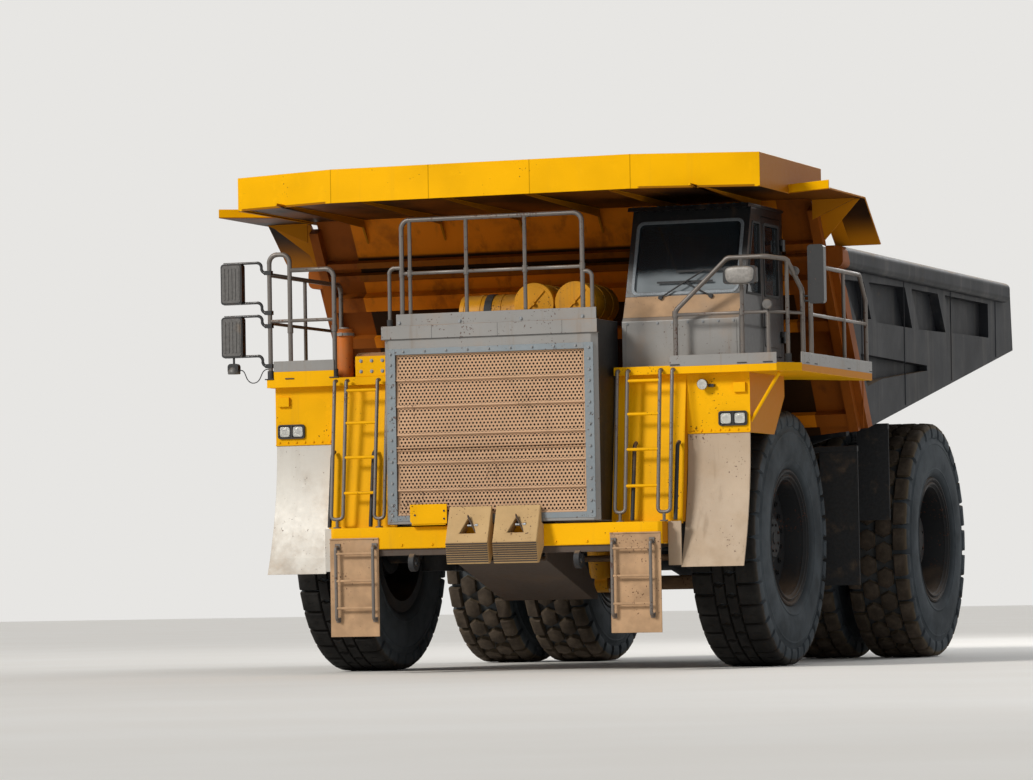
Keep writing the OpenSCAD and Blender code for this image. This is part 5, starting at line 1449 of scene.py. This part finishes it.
@dataclass
class Cabinets:
    """Yellow boxes above the tyres, with lamps and aprons."""

    face: float = station(-1.60)
    lamp_x: Flat = (2.274, 2.578)
    lamp_z: float = 2.537

    def build(self) -> None:
        """Builds boxes, lamps and aprons."""
        copied("cabinets", Finish.YELLOW)
        y = self.face
        trim = Shape().prism(rounded_rect(2.44, 2.80, 2.57, 2.90, 0.008), Axis.Y, y - 0.035, y + 0.001)
        trim.box((1.94, y - 0.012, 2.392), (2.607, y + 0.001, 2.408)).both()
        trim.piece("cabinet_trim", Finish.YELLOW, bevel=0.004)
        for side, word in SIDES.items():
            start, end = ((side * x, y - 0.001, 2.425) for x in (1.99, 2.57))
            bolt_row(f"cabinet_bolts_{word}", 0.011, 0.010, 7, start, end, Finish.YELLOW)
            self.headlamp(side, word)
        self.work_lamp()
        copied("aprons", Finish.PALE, only=lambda c: c.x < 0, name="apron_right", bevel=0.004)
        copied("aprons", Finish.SANDY, only=lambda c: c.x > 0, name="apron_left", bevel=0.004)

    def headlamp(self, side: int, word: str) -> None:
        """Builds a black bezel with two lenses."""
        x0, x1 = sorted((side * self.lamp_x[0], side * self.lamp_x[1]))
        y, z, rim, post = self.face, self.lamp_z, 0.016, 0.012
        z0, z1, mid = z - 0.075, z + 0.075, (x0 + x1) / 2
        inner = rounded_rect(x0 + rim, z0 + rim, x1 - rim, z1 - rim, rim)
        bezel = border(rounded_rect(x0, z0, x1, z1, 0.028), inner, Axis.Y, y - 0.024, y + 0.001)
        bezel.prism(inner, Axis.Y, y - 0.008, y + 0.001)
        bezel.box((mid - post, y - 0.020, z0 + 0.01), (mid + post, y, z1 - 0.01))
        bezel.piece(f"headlamp_bezel_{word}", Finish.BLACK, bevel=0.002, replaces=["headlamps"])
        for k, x in enumerate(((x0 + rim + mid - post) / 2, (x1 - rim + mid + post) / 2)):
            shell = Shape().disc((x, y - 0.009, z), (x, y - 0.011, z), 0.052, 32)
            for ring in (0.048, 0.036, 0.024, 0.012):
                shell.disc((x, y - 0.010, z), (x, y - 0.0135, z), ring, 28, ring * 0.82)
            shell.piece(f"lamp_reflector_{word}_{k}", Finish.LAMP)
            pane = rounded_rect(x - 0.054, z - 0.052, x + 0.054, z + 0.052, 0.020)
            lens = Shape().prism(pane, Axis.Y, y - 0.021, y - 0.016)
            lens.piece(f"lamp_lens_{word}_{k}", Finish.LENS)

    def work_lamp(self) -> None:
        """Builds the small lamp on the left cabinet's face."""
        x, y, z = 2.13, self.face, 2.90
        lamp = Shape().disc((x, y - 0.02, z), (x, y - 0.09, z - 0.012), 0.040, 20, 0.056)
        lamp.box((x + 0.05, y - 0.05, z - 0.04), (x + 0.11, y + 0.001, z - 0.01))
        lamp.piece("work_lamp", Finish.BLACK)
        lens = Shape().disc((x, y - 0.088, z - 0.012), (x, y - 0.094, z - 0.013), 0.052, 20)
        lens.piece("work_lamp_lens", Finish.LAMP)


# Deck, rails, mirrors and air cleaners


@dataclass
class Deck:
    """Deck with its rails and what stands on it."""

    top: float = 3.085
    front: float = station(-1.75)
    left_posts: tuple[Flat, ...] = ((1.865, -1.71), (2.576, -1.71), (2.85, -1.71), (2.985, -1.48))
    walk_posts: tuple[Flat, ...] = ((3.075, -1.25), (3.075, -0.96), (3.075, 0.25), (3.075, 1.08))
    right_posts: tuple[Flat, ...] = ((-1.90, -1.66), (-2.40, -1.66), (-2.63, -1.66), (-2.63, -0.70),
                                     (-2.63, 0.31))
    cap_posts: tuple[float, ...] = (-0.96, -0.87, -0.25, 0.39, 1.01, -1.10, 1.11)
    cap_line: float = station(-2.098)
    stud_pitch: float = 0.05

    def build(self) -> None:
        """Builds deck, toe boards and fittings."""
        copied("deck", Finish.YELLOW, bevel=0.005)
        y, top = self.front, self.top
        boards = Shape().box((1.8085, y - 0.0015, top - 0.012), (2.9415, y + 0.0135, top + 0.1015))
        boards.box((3.1065, station(-1.4515), top - 0.012), (3.1215, station(1.1315), top + 0.1115))
        boards.box((-2.5815, y + 0.0485, top + 0.080), (-1.8985, y + 0.0635, top + 0.1915))
        boards.piece("toe_boards", Finish.HOUSING, bevel=0.003)
        self.chequer()
        copied("guard_rails", Finish.RAILS, bevel=0.0)
        self.post_fittings()
        self.rail_lamps()
        Mirrors().build()
        AirCleaners().build()

    def post_fittings(self) -> None:
        """Sets a socket on the foot of each rail post and collars where rails cross posts."""
        sockets, collars, z = Shape(), Shape(), self.top + 0.0005
        for x, place in self.left_posts + self.walk_posts + self.right_posts:
            y = station(place)
            sockets.disc((x, y, z), (x, y, self.top + 0.095), 0.034, 20)
            sockets.box((x - 0.05, y - 0.05, z), (x + 0.05, y + 0.05, self.top + 0.012))
        for x in self.cap_posts:
            sockets.disc((x, self.cap_line, 3.5705), (x, self.cap_line, 3.640), 0.031, 20)
        for x in self.cap_posts[:5]:
            collars.disc((x, self.cap_line, 4.075), (x, self.cap_line, 4.145), 0.029, 18)
        for x, place in self.left_posts[:2] + self.right_posts[:2]:
            collars.disc((x, station(place), 3.57), (x, station(place), 3.64), 0.031, 18)
        sockets.piece("post_sockets", Finish.SEAL, bevel=0.002)
        collars.piece("rail_collars", Finish.RAILS, bevel=0.002)

    def chequer(self) -> None:
        """Sets raised studs on the walking surfaces."""
        stud = Shape().disc((0, 0, -0.001), (0, 0, 0.003), 0.010, 8, 0.006)
        for name, corner, columns, rows in (("walkway", (2.62, station(-1.30), self.top), 9, 46),
                                            ("right", (-2.52, station(-1.55), self.top), 12, 34)):
            Trees.sheet.piece(f"deck_studs_{name}", stud, Finish.YELLOW, Body.CHASSIS, Columns=columns,
                              Rows=rows, Pitch=self.stud_pitch, Row_Pitch=self.stud_pitch,
                              Corner=corner, Lean=0.0)

    def rail_lamps(self) -> None:
        """Sets small dome lamps on the rails."""
        dome = Shape().lathe([(0.0, -0.035), (0.030, -0.033), (0.048, -0.015), (0.052, 0.010),
                              (0.046, 0.022), (0.0, 0.024)], (0, 0, 0), 1.0, 24)
        for k, (x, place, z) in enumerate(((3.03, -1.36, 4.02), (2.86, -1.76, 3.67))):
            turn = Matrix.Translation((x, station(place), z)) @ Matrix.Rotation(math.radians(-90), 4, "Z")
            moved(dome, turn).piece(f"rail_lamp_{k}", Finish.LAMP_GREY)


@dataclass
class Mirrors:
    """Mirror heads, shells and faces."""

    y: float = station(-1.66)
    post_x: float = -2.63
    head_x: float = -3.05
    heads: Flat = (3.545, 4.105)
    wide: Point = (2.59, station(-1.71), 3.975)

    def build(self) -> None:
        """Dresses the heads and arms."""
        copied("mirrors", Finish.BLACK, bevel=0.010)
        faces, backs, clamps = Shape(), Shape(), Shape()
        mid, y, post = self.head_x, self.y, self.post_x
        for z in self.heads:
            back = rounded_rect(mid - 0.106, z - 0.198, mid + 0.106, z + 0.198, 0.03)
            backs.prism(back, Axis.Y, y - 0.0505, y - 0.044)
            for k in range(5):
                x = mid - 0.088 + 0.0405 * k
                backs.box((x, y - 0.056, z - 0.165), (x + 0.020, y - 0.050, z + 0.165))
            face = rounded_rect(mid - 0.112, z - 0.207, mid + 0.112, z + 0.207, 0.03)
            faces.prism(face, Axis.Y, y + 0.043, y + 0.0485)
            for arm in (z - 0.313, z + 0.108):
                clamps.box((post - 0.046, y - 0.030, arm - 0.022), (post + 0.030, y + 0.030, arm + 0.022))
                clamps.disc((post - 0.060, y, arm), (post - 0.046, y, arm), 0.021, 16)
        side = station(-1.204)
        faces.prism(rounded_rect(3.158, 3.70, 3.312, 4.28, 0.03), Axis.Y, side - 0.0025, side + 0.0025)
        faces.piece("mirror_faces", Finish.MIRROR)
        backs.piece("mirror_backs", Finish.LAMP_GREY, bevel=0.002)
        clamps.piece("mirror_clamps", Finish.BLACK, bevel=0.002)
        self.shell()
        lamp = Shape().lathe([(0.0, -0.065), (0.040, -0.060), (0.062, -0.030), (0.068, 0.0),
                              (0.064, 0.010), (0.0, 0.012)], (0, 0, 0), 1.0, 28)
        turn = Matrix.Translation((mid, y, 3.170)) @ Matrix.Rotation(math.radians(90), 4, "Y")
        moved(lamp, turn).piece("mirror_lamp", Finish.LAMP_GREY)

    def shell(self) -> None:
        """Builds the wide mirror's rounded shell."""
        rings, (x, y, z) = [], self.wide
        for depth, grow in ((-0.128, 0.62), (-0.124, 0.80), (-0.112, 0.94), (-0.090, 1.01),
                            (-0.060, 1.02), (-0.044, 1.0)):
            half_w, half_h = 0.178 * grow, 0.093 * grow
            rings.append([(x + half_w * (0.93 + 0.07 * v) * u, y + depth, z + half_h * v)
                          for u, v in (squircle(turn, 0.55) for turn in turns(40))])
        loft(rings).piece("wide_mirror_shell", Finish.SILVER)
        pane = rounded_rect(x - 0.16, z - 0.08, x + 0.16, z + 0.08, 0.03)
        face = Shape().prism(pane, Axis.Y, y - 0.0465, y - 0.0410)
        face.piece("wide_mirror_face", Finish.MIRROR)


@dataclass
class LampWire:
    """Wire that hangs between the mirror lamp and the cage's corner post."""

    diameter: float = 0.011
    y: float = station(-1.66)
    route: tuple[Flat, ...] = (
        (-2.992, 3.200), (-2.972, 3.200), (-2.952, 3.194), (-2.936, 3.180), (-2.924, 3.158),
        (-2.914, 3.132), (-2.902, 3.106), (-2.886, 3.084), (-2.866, 3.068), (-2.842, 3.060),
        (-2.816, 3.060), (-2.791, 3.068), (-2.770, 3.084), (-2.754, 3.106), (-2.741, 3.132),
        (-2.729, 3.158), (-2.714, 3.180), (-2.695, 3.194), (-2.674, 3.200), (-2.652, 3.200))

    def build(self) -> None:
        """Hangs the wire."""
        points = [(x, self.y, z) for x, z in self.route]
        wire = Shape().tube(points, self.diameter / 2, 10).piece("lamp_wire", Finish.SEAL)


@dataclass
class AirCleaners:
    """Filter drums and the parts by the radiator's right side."""

    end: float = station(-1.30)
    drums: Flat = (0.19, 0.64)
    drum_z: float = 3.80
    cross: Flat = (station(-0.95), 3.72)
    band: float = 0.217
    canister: Flat = (-1.89, station(-1.42))
    bracket_edge: float = -1.1
    bracket_back: float = station(-1.53)
    bracket_face: float = station(-1.681)

    def build(self) -> None:
        """Dresses the drums, the canister and the bracket."""
        edge, back = self.bracket_edge, self.bracket_back
        for name, finish, only in (
                ("filter_drums", Finish.DRUM, lambda c: c.x > edge),
                ("canister_duct", Finish.BRACKET, lambda c: c.x < edge and c.y > back),
                ("bolted_bracket", Finish.YELLOW, lambda c: c.x < edge and c.y < back)):
            copied("air_cleaners", finish, only=only, name=name)
        bands, knobs, y, z = Shape(), Shape(), self.end, self.drum_z
        for x in self.drums:
            for place in (-1.303, -1.26, -0.95, -0.70):
                bands.disc((x, station(place), z), (x, station(place) + 0.035, z), self.band, 48)
            knobs.disc((x, y - 0.001, z), (x, y - 0.045, z), 0.022, 8)
            knobs.tube([(x - 0.12, y - 0.015, z - 0.13), (x + 0.12, y - 0.015, z + 0.13)], 0.007)
            knobs.disc((x, y + 0.001, z), (x, y - 0.006, z), 0.185, 40, 0.178)
        for x in (-0.68, -0.50, -0.27, -0.095):
            bands.disc((x, *self.cross), (x + 0.035, *self.cross), self.band, 48)
        bands.piece("drum_bands", Finish.DRUM, bevel=0.002)
        knobs.piece("drum_knobs", Finish.DRUM)
        clamp = Shape().disc((-0.42, *self.cross), (-0.34, *self.cross), self.band + 0.0025, 48)
        clamp.piece("drum_clamp", Finish.SEAL)
        x, y = self.canister
        ring = Shape().disc((x, y, 3.532), (x, y, 3.562), 0.107, 32)
        ring.box((x - 0.02, y - 0.115, 3.530), (x + 0.02, y - 0.100, 3.564))
        ring.disc((x, y, 3.600), (x, y, 3.622), 0.060, 24, 0.050)
        ring.piece("canister_clamp", Finish.SILVER)
        for name, z in (("bracket_bolts", 3.25), ("bracket_bolts_low", 3.14)):
            bolt_row(name, 0.014, 0.012, 4, (-1.60, self.bracket_face, z), (-1.24, self.bracket_face, z))


# Cab


@dataclass
class Cab:
    """Cab shell with glass, door, cowl and what shows through the glass."""

    inner: float = 1.23
    outer: float = 2.50
    foot: Flat = (-1.40, 3.82)
    head: Flat = (-1.13, 4.62)
    roof: float = 4.735
    cowl_face: float = station(-1.54)
    door_glass: Flat = (station(-0.67), station(-0.19))

    def screen(self, z: float, proud: float = 0.0) -> float:
        """Y of the windscreen's plane at a height, moved forward by a distance."""
        slope = (self.head[0] - self.foot[0]) / (self.head[1] - self.foot[1])
        return station(self.foot[0] + (z - self.foot[1]) * slope - proud)

    def on_screen(self, outer: Sequence[Flat], inner: Sequence[Flat], proud: float, depth: float) -> Shape:
        """Flat ring that lies on the windscreen's plane."""
        shape = border(outer, inner, Axis.Y, 0.0, depth)
        return Shape().add([(x, self.screen(z, proud) + y, z) for x, y, z in shape.points], shape.faces)

    def build(self) -> None:
        """Builds the cab."""
        copied("cab", Finish.BLACK)
        copied("cab_glass", Finish.PANE, bevel=0.0)
        outer = rounded_rect(self.inner + 0.055, 3.830, self.outer - 0.055, 4.610, 0.075)
        inner = rounded_rect(self.inner + 0.088, 3.863, self.outer - 0.088, 4.577, 0.050)
        self.on_screen(outer, inner, 0.006, 0.020).piece("windscreen_border", Finish.TRIM, bevel=0.003)
        self.visor()
        self.wipers()
        self.cowl()
        self.door()
        self.pillars()
        Interior().build()

    def visor(self) -> None:
        """Builds the ribbed roof edge over the windscreen."""
        ribs, gutters, z = Shape(), Shape(), self.roof
        for k in range(14):
            x = self.inner + 0.045 + 0.0905 * k
            ribs.box((x - 0.006, station(-1.241), z - 0.023), (x + 0.006, station(-0.06), z + 0.024))
        ribs.piece("roof_ribs", Finish.BLACK, bevel=0.002)
        for x in (self.inner - 0.004, self.outer + 0.012):
            gutters.tube([(x, station(-0.03), z), (x, station(-1.20), z)], 0.010)
        gutters.piece("roof_gutters", Finish.BLACK)

    def wipers(self) -> None:
        """Builds the wiper arms and blades."""
        arms, blades, run = Shape(), Shape(), 0.30
        for (x0, z0), (x1, z1) in (((1.62, 3.80), (2.06, 4.07)), ((2.16, 3.80), (1.86, 3.96))):
            y0, y1 = self.screen(z0, 0.030), self.screen(z1, 0.022)
            mid = ((x0 + x1) / 2, (y0 + y1) / 2 - 0.02, (z0 + z1) / 2)
            arms.tube([(x0, y0, z0), mid, (x1, y1, z1)], 0.008)
            arms.disc((x0, self.screen(z0), z0), (x0, self.screen(z0, 0.045), z0), 0.022, 16)
            blades.box((x1 - run, self.screen(z1, 0.014), z1 - 0.010),
                       (x1 + run, self.screen(z1, 0.006), z1 + 0.010))
        arms.piece("wiper_arms", Finish.SEAL)
        blades.piece("wiper_blades", Finish.SEAL)

    def cowl(self) -> None:
        """Dresses the box and the dusty slope before the windscreen."""
        copied("cowl", Finish.HOUSING)
        y, (y0, z0), (y1, z1) = self.cowl_face, (station(-1.5015), 3.6015), (station(-1.4085), 3.8165)
        slope = Shape().prism([(y0 - 0.004, z0), (y1 - 0.004, z1), (y1 + 0.003, z1 + 0.001),
                               (y0 + 0.003, z0 - 0.001)], Axis.X, self.inner + 0.004, self.outer - 0.014)
        slope.piece("cowl_slope", Finish.TAN, bevel=0.002)
        seams = Shape().box((1.84, y - 0.0015, 3.10), (1.845, y + 0.0015, 3.56))
        for x in (1.27, 2.45):
            seams.box((x, y - 0.006, 3.12), (x + 0.012, y + 0.002, 3.54))
        seams.piece("cowl_seams", Finish.HOUSING)
        bolt_row("cowl_bolts", 0.011, 0.009, 8, (1.29, y - 0.001, 3.535), (2.43, y - 0.001, 3.535))

    def door(self) -> None:
        """Dresses the door and its glass."""
        copied("cab_door", Finish.BLACK, Body.DOOR, bevel=0.005)
        copied("door_glass", Finish.PANE, Body.DOOR, bevel=0.0)
        (y0, y1), x = self.door_glass, self.outer
        outer = rounded_rect(y0 - 0.024, 3.816, y1 + 0.024, 4.584, 0.035)
        inner = rounded_rect(y0 + 0.006, 3.846, y1 - 0.006, 4.554, 0.020)
        seal = border(outer, inner, Axis.X, x - 0.002, x + 0.008)
        seal.piece("door_window_seal", Finish.SEAL, Body.DOOR, bevel=0.002)
        outline = rounded_rect(y0 - 0.03, 3.30, y1 + 0.03, 3.74, 0.04)
        panel = Shape().prism(outline, Axis.X, x - 0.001, x + 0.006)
        panel.piece("door_panel", Finish.BLACK, Body.DOOR, bevel=0.003)

    def pillars(self) -> None:
        """Builds the seals of the fixed side windows."""
        rim, stretch, low, high = 0.024, 1.066, 3.84, 4.56
        for name, side, x, back in (("inner", -1, self.inner, station(-0.15)),
                                    ("outer", 1, self.outer, station(-0.83))):
            outline = [(station(-1.283), low), (station(-1.040), high), (back, high), (back, low)]
            cy, cz = sum(y for y, z in outline) / 4, (low + high) / 2
            grown = [(y + math.copysign(rim, y - cy), cz + (z - cz) * stretch) for y, z in outline]
            seal = border(grown, outline, Axis.X, x - 0.002 * side, x + 0.008 * side)
            seal.piece(f"side_window_seal_{name}", Finish.SEAL, bevel=0.002)


@dataclass
class Interior:
    """Seat and dashboard."""

    seat_x: float = 1.865
    seat_y: float = station(-0.56)
    floor: float = 3.145

    def cushion(self, name: str, centre: Point, size: Point, lean: float) -> None:
        """Builds a crowned cushion with rounded edges."""
        rings = []
        half_x, half_y, half_z = (s / 2 for s in size)
        for level in (-1.0, -0.92, -0.7, -0.35, 0.0, 0.35, 0.7, 0.92, 1.0):
            swell = max(0.02, 1 - abs(level) ** 3.2) ** 0.42
            ring = []
            for turn in turns(48):
                u, v = squircle(turn, 0.45)
                wide = (0.80 + 0.20 * swell) * (1 - 0.035 * math.cos(4 * turn) * (1 - abs(level)))
                ring.append((u * half_x * wide, v * half_y * wide,
                             level * half_z * (1 - 0.10 * abs(u * v) ** 2)))
            rings.append(ring)
        turn = Matrix.Translation(centre) @ Matrix.Rotation(math.radians(lean), 4, "X")
        pad = moved(loft(rings), turn).piece(name, Finish.CLOTH, replaces=["seat"], angle=60.0)

    def build(self) -> None:
        """Builds the seat and dresses the dashboard."""
        x, y, z = self.seat_x, self.seat_y, self.floor
        self.cushion("seat_cushion", (x, y, z + 0.375), (0.53, 0.51, 0.135), 4.0)
        self.cushion("seat_back", (x, y + 0.285, z + 0.745), (0.49, 0.66, 0.10), 84.0)
        self.cushion("seat_headrest", (x, y + 0.335, z + 1.165), (0.27, 0.155, 0.070), 85.0)
        base = Shape().disc((x, y, z + 0.001), (x, y, z + 0.30), 0.11, 32)
        base.box((x - 0.22, y - 0.21, z + 0.27), (x + 0.22, y + 0.21, z + 0.315))
        for k in range(6):
            base.disc((x, y, z + 0.05 + 0.036 * k), (x, y, z + 0.068 + 0.036 * k), 0.125, 32, 0.105)
        for rod in (x - 0.10, x + 0.10):
            base.tube([(rod, y + 0.315, z + 1.02), (rod, y + 0.335, z + 1.15)], 0.008)
        base.piece("seat_base", Finish.DARK, bevel=0.003, replaces=["seat"])
        copied("dashboard", Finish.PLASTIC)
        dials = Shape()
        for k in range(4):
            cx = x - 0.15 + 0.10 * k
            dials.disc((cx, station(-1.190), 3.7615), (cx, station(-1.180), 3.7695), 0.036, 24)
        dials.piece("dash_dials", Finish.SILVER)


# Body that tips


@dataclass
class DumpBody:
    """Load body with its canopy."""

    half: float = 2.95
    foot: Flat = TubPlate.foot
    slope: float = TubPlate.slope
    floor_rise: float = 1.11 / 6.4
    rail: float = 4.17
    wing_top: float = 4.85
    wing_edge: float = 2.885
    seams: tuple[float, ...] = (1.35, 3.05, 5.05, 7.10)

    def build(self) -> None:
        """Dresses the tub and the canopy."""
        copied("dump_tub", Finish.TUB, Body.DUMP, bevel=0.009)
        copied("canopy", Finish.CANOPY, Body.DUMP, bevel=0.008)
        welds = Shape()
        for place in self.seams:
            low = self.foot[1] + (place - self.foot[0]) * self.floor_rise + 0.03
            for x in (self.half + 0.0005, -self.half - 0.0005):
                welds.tube([(x, station(place), low), (x, station(place + 0.02), self.rail)], 0.007, 8)
        welds.piece("side_welds", Finish.TUB, Body.DUMP)
        self.wing_plates()

    def wing_plates(self) -> None:
        """Carries each wing's drop plate in to the body and braces the wing from the post."""
        top, y, edge = self.wing_top, station(0.08), self.wing_edge
        plates = Shape().prism([(y, top), (y, top + 0.02), (y + 0.02, top + 0.02), (y + 0.59, top - 0.435),
                                (y + 0.57, top - 0.445)], Axis.X, edge, edge + 0.167).both()
        plates.piece("wing_drop_returns", Finish.CANOPY, Body.DUMP, bevel=0.002)
        post = edge - 0.013
        brace = Shape().prism([(post, top), (post, top - 0.40), (3.33, top)], Axis.Y, 0.0, 0.012)
        foot_y, foot_z = station(self.foot[0] - 0.02), self.foot[1]
        leaned = [(x, foot_y - (z - foot_z) * self.slope + y, z) for x, y, z in brace.points]
        Shape().add(leaned, brace.faces).both().piece("wing_braces", Finish.CANOPY, Body.DUMP)


# Chassis and what it carries


@dataclass
class Chassis:
    """Frame, axles, engine, tanks and steering."""

    plain: tuple[tuple[str, Finish, Body], ...] = (
        ("frame", Finish.FRAME, Body.CHASSIS), ("front_struts", Finish.FRAME, Body.CHASSIS),
        ("rear_axle", Finish.IRON, Body.CHASSIS), ("rear_struts", Finish.FRAME, Body.CHASSIS),
        ("engine", Finish.DARK, Body.CHASSIS), ("driveline", Finish.IRON, Body.CHASSIS),
        ("tanks", Finish.DARK, Body.CHASSIS), ("mud_flaps", Finish.FLAP, Body.CHASSIS),
        ("knuckle_left", Finish.IRON, Body.KNUCKLE_LEFT),
        ("knuckle_right", Finish.IRON, Body.KNUCKLE_RIGHT),
        ("tie_rod", Finish.FRAME, Body.TIE_ROD), ("hoist_barrels", Finish.DRUM, Body.BARRELS),
        ("hoist_sleeves", Finish.CHROME, Body.SLEEVES), ("hoist_rods", Finish.CHROME, Body.RODS))
    tank_z: float = 1.40
    tanks: tuple[tuple[int, Flat, float, float], ...] = ((1, (2.05, 2.50), 2.28, 0.40),
                                                         (-1, (2.05, 2.38), 2.15, 0.33))

    def build(self) -> None:
        """Dresses the hidden and half-hidden steelwork."""
        for node, finish, body in self.plain:
            copied(node, finish, body, bevel=0.005)
        self.tank_straps()
        self.axle_details()

    def tank_straps(self) -> None:
        """Sets straps and caps on the tanks."""
        straps, mid = Shape(), self.tank_z
        for side, places, edge, half in self.tanks:
            for place in places:
                outline = rounded_rect(0.955, mid - half - 0.005, edge + 0.005, mid + half + 0.005, 0.125)
                inner = rounded_rect(0.962, mid - half + 0.002, edge - 0.002, mid + half - 0.002, 0.119)
                strap = border(outline, inner, Axis.Y, station(place), station(place) + 0.06)
                straps.add([(side * x, y, z) for x, y, z in strap.points], strap.faces)
            x, y, top = side * 1.7, station(2.3), mid + half
            straps.disc((x, y, top - 0.002), (x, y, top + 0.05), 0.07, 24)
        straps.piece("tank_straps", Finish.STEEL_STRAP)

    def axle_details(self) -> None:
        """Sets bolts and cover rings on the rear axle's housing."""
        centre, half = (0.0, station(WHEELBASE), AXLE_Z), 0.03
        profile = [(0.30, -half), (0.445, -half), (0.445, half), (0.30, half)]
        cover = Shape().lathe(profile, centre, 1.0, 64)
        cover.piece("axle_flange", Finish.IRON, bevel=0.003)
        for side, word in SIDES.items():
            head = axle_bolt(0.405, half, 0.016, 0.016)
            Trees.ring.piece(f"axle_bolts_{word}", head, Finish.IRON, Body.CHASSIS, Count=24,
                             Centre=centre, Phase=0.0, Flip=0.0 if side > 0 else math.pi)


# Camera, floor and light


@dataclass(frozen=True)
class Studio:
    """Camera of the photograph, pale floor and soft light."""

    place: Point = (16.700, -49.598, 0.7705)
    yaw: float = math.radians(20.170)
    pitch: float = math.radians(2.528)
    roll: float = math.radians(-1.005)
    sensor: float = 36.0
    focal_pixels: float = 4676.99
    photo_width: float = 1033
    cool: Colour = (0.93, 0.96, 1.0)
    warm: Colour = (1.0, 0.97, 0.92)
    backdrop: Colour = (0.80, 0.79, 0.77)
    sky_power: float = 0.30
    sun_power: float = 2.4
    sun_spread: float = math.radians(14.0)
    sun_way: Point = (0.49, 0.73, -0.50)
    fill_power: float = 300.0
    back_power: float = 1500.0

    def camera(self) -> None:
        """Sets the camera."""
        data = bpy.data.cameras.new("camera")
        data.lens = self.focal_pixels / self.photo_width * self.sensor
        data.sensor_width, data.clip_end = self.sensor, 500.0
        ahead = Vector((-math.sin(self.yaw) * math.cos(self.pitch),
                        math.cos(self.yaw) * math.cos(self.pitch), math.sin(self.pitch)))
        level = Vector((math.cos(self.yaw), math.sin(self.yaw), 0.0))
        up = level.cross(ahead)
        right = level * math.cos(self.roll) + up * math.sin(self.roll)
        top = up * math.cos(self.roll) - level * math.sin(self.roll)
        turn = Matrix((right, top, -ahead)).transposed().to_4x4()
        bpy.context.scene.camera = placed("camera", data, Matrix.Translation(self.place) @ turn)

    def floor(self) -> None:
        """Lays the floor."""
        mesh, half = bpy.data.meshes.new("floor"), 150.0
        corners = [(-half, -half, 0), (half, -half, 0), (half, half, 0), (-half, half, 0)]
        mesh.from_pydata(corners, [], [(0, 1, 2, 3)])
        g = Graph("floor_surface")
        tone = g.noise(0.35, 3.0).step(0.3, 0.8)
        mesh.materials.append(g.surface(g.mix(tone, srgb("EEEBE6"), srgb("F2F0EC")), 0.9))
        obj = placed("floor", mesh)

    def world(self) -> None:
        """Sets an even sky that looks pale to the camera."""
        world = bpy.data.worlds.new("studio")
        bpy.context.scene.world = world
        world.use_nodes = True
        tree = world.node_tree
        tree.nodes.clear()
        rays = tree.nodes.new("ShaderNodeLightPath")
        shown = rays.outputs["Is Camera Ray"]
        for name in ("Is Glossy Ray", "Is Transmission Ray"):
            either = tree.nodes.new("ShaderNodeMath")
            either.operation = "MAXIMUM"
            tree.links.new(shown, either.inputs[0])
            tree.links.new(rays.outputs[name], either.inputs[1])
            shown = either.outputs[0]
        blend = tree.nodes.new("ShaderNodeMixShader")
        tree.links.new(shown, blend.inputs[0])
        for slot, colour, power in ((1, self.cool, self.sky_power), (2, self.backdrop, 1.0)):
            glow = tree.nodes.new("ShaderNodeBackground")
            glow.inputs["Color"].default_value, glow.inputs["Strength"].default_value = (
                *colour, 1.0), power
            tree.links.new(glow.outputs[0], blend.inputs[slot])
        out = tree.nodes.new("ShaderNodeOutputWorld")
        tree.links.new(blend.outputs[0], out.inputs["Surface"])

    def light(self, name: str, place: Point, aim: Point, size: float, power: float,
              colour: Colour = (1, 1, 1)) -> None:
        """Hangs a square soft light."""
        data = bpy.data.lights.new(name, "AREA")
        data.shape, data.size, data.energy, data.color = "SQUARE", size, power, colour
        placed(name, data, Matrix.Translation(place) @ self.facing(Vector(aim) - Vector(place)))

    @staticmethod
    def facing(way: Vector) -> Matrix:
        """Turn that points a light along a direction."""
        return way.to_track_quat("-Z", "Y").to_matrix().to_4x4()

    def sun(self) -> None:
        """Sets the soft main light, high at the front right of the truck."""
        data = bpy.data.lights.new("key", "SUN")
        data.energy, data.angle, data.color = self.sun_power, self.sun_spread, self.warm
        placed("key", data, self.facing(Vector(self.sun_way)))

    def build(self) -> None:
        """Sets floor and lights; the camera is set before them."""
        self.floor()
        self.world()
        self.sun()
        self.light("fill", (17.0, -16.0, 7.0), (0.5, -1.0, 2.2), 10.0, self.fill_power, self.cool)
        self.light("back", (6.0, 18.0, 14.0), (0.0, 2.0, 3.0), 9.0, self.back_power)


def main() -> None:
    """Builds the scene in order."""
    logging.basicConfig(level=logging.INFO, format="%(name)s %(message)s")
    scene = bpy.context.scene
    scene.view_settings.view_transform = "Standard"
    studio = Studio()
    studio.camera()
    LampWire().build()
    studio.build()
    Trees.build()
    for part in (RunningGear(), Chassis(), Radiator(), Bumper(), Access(), Cabinets(), Deck(), Cab(),
                 DumpBody()):
        part.build()


if __name__ == "__main__":
    main()
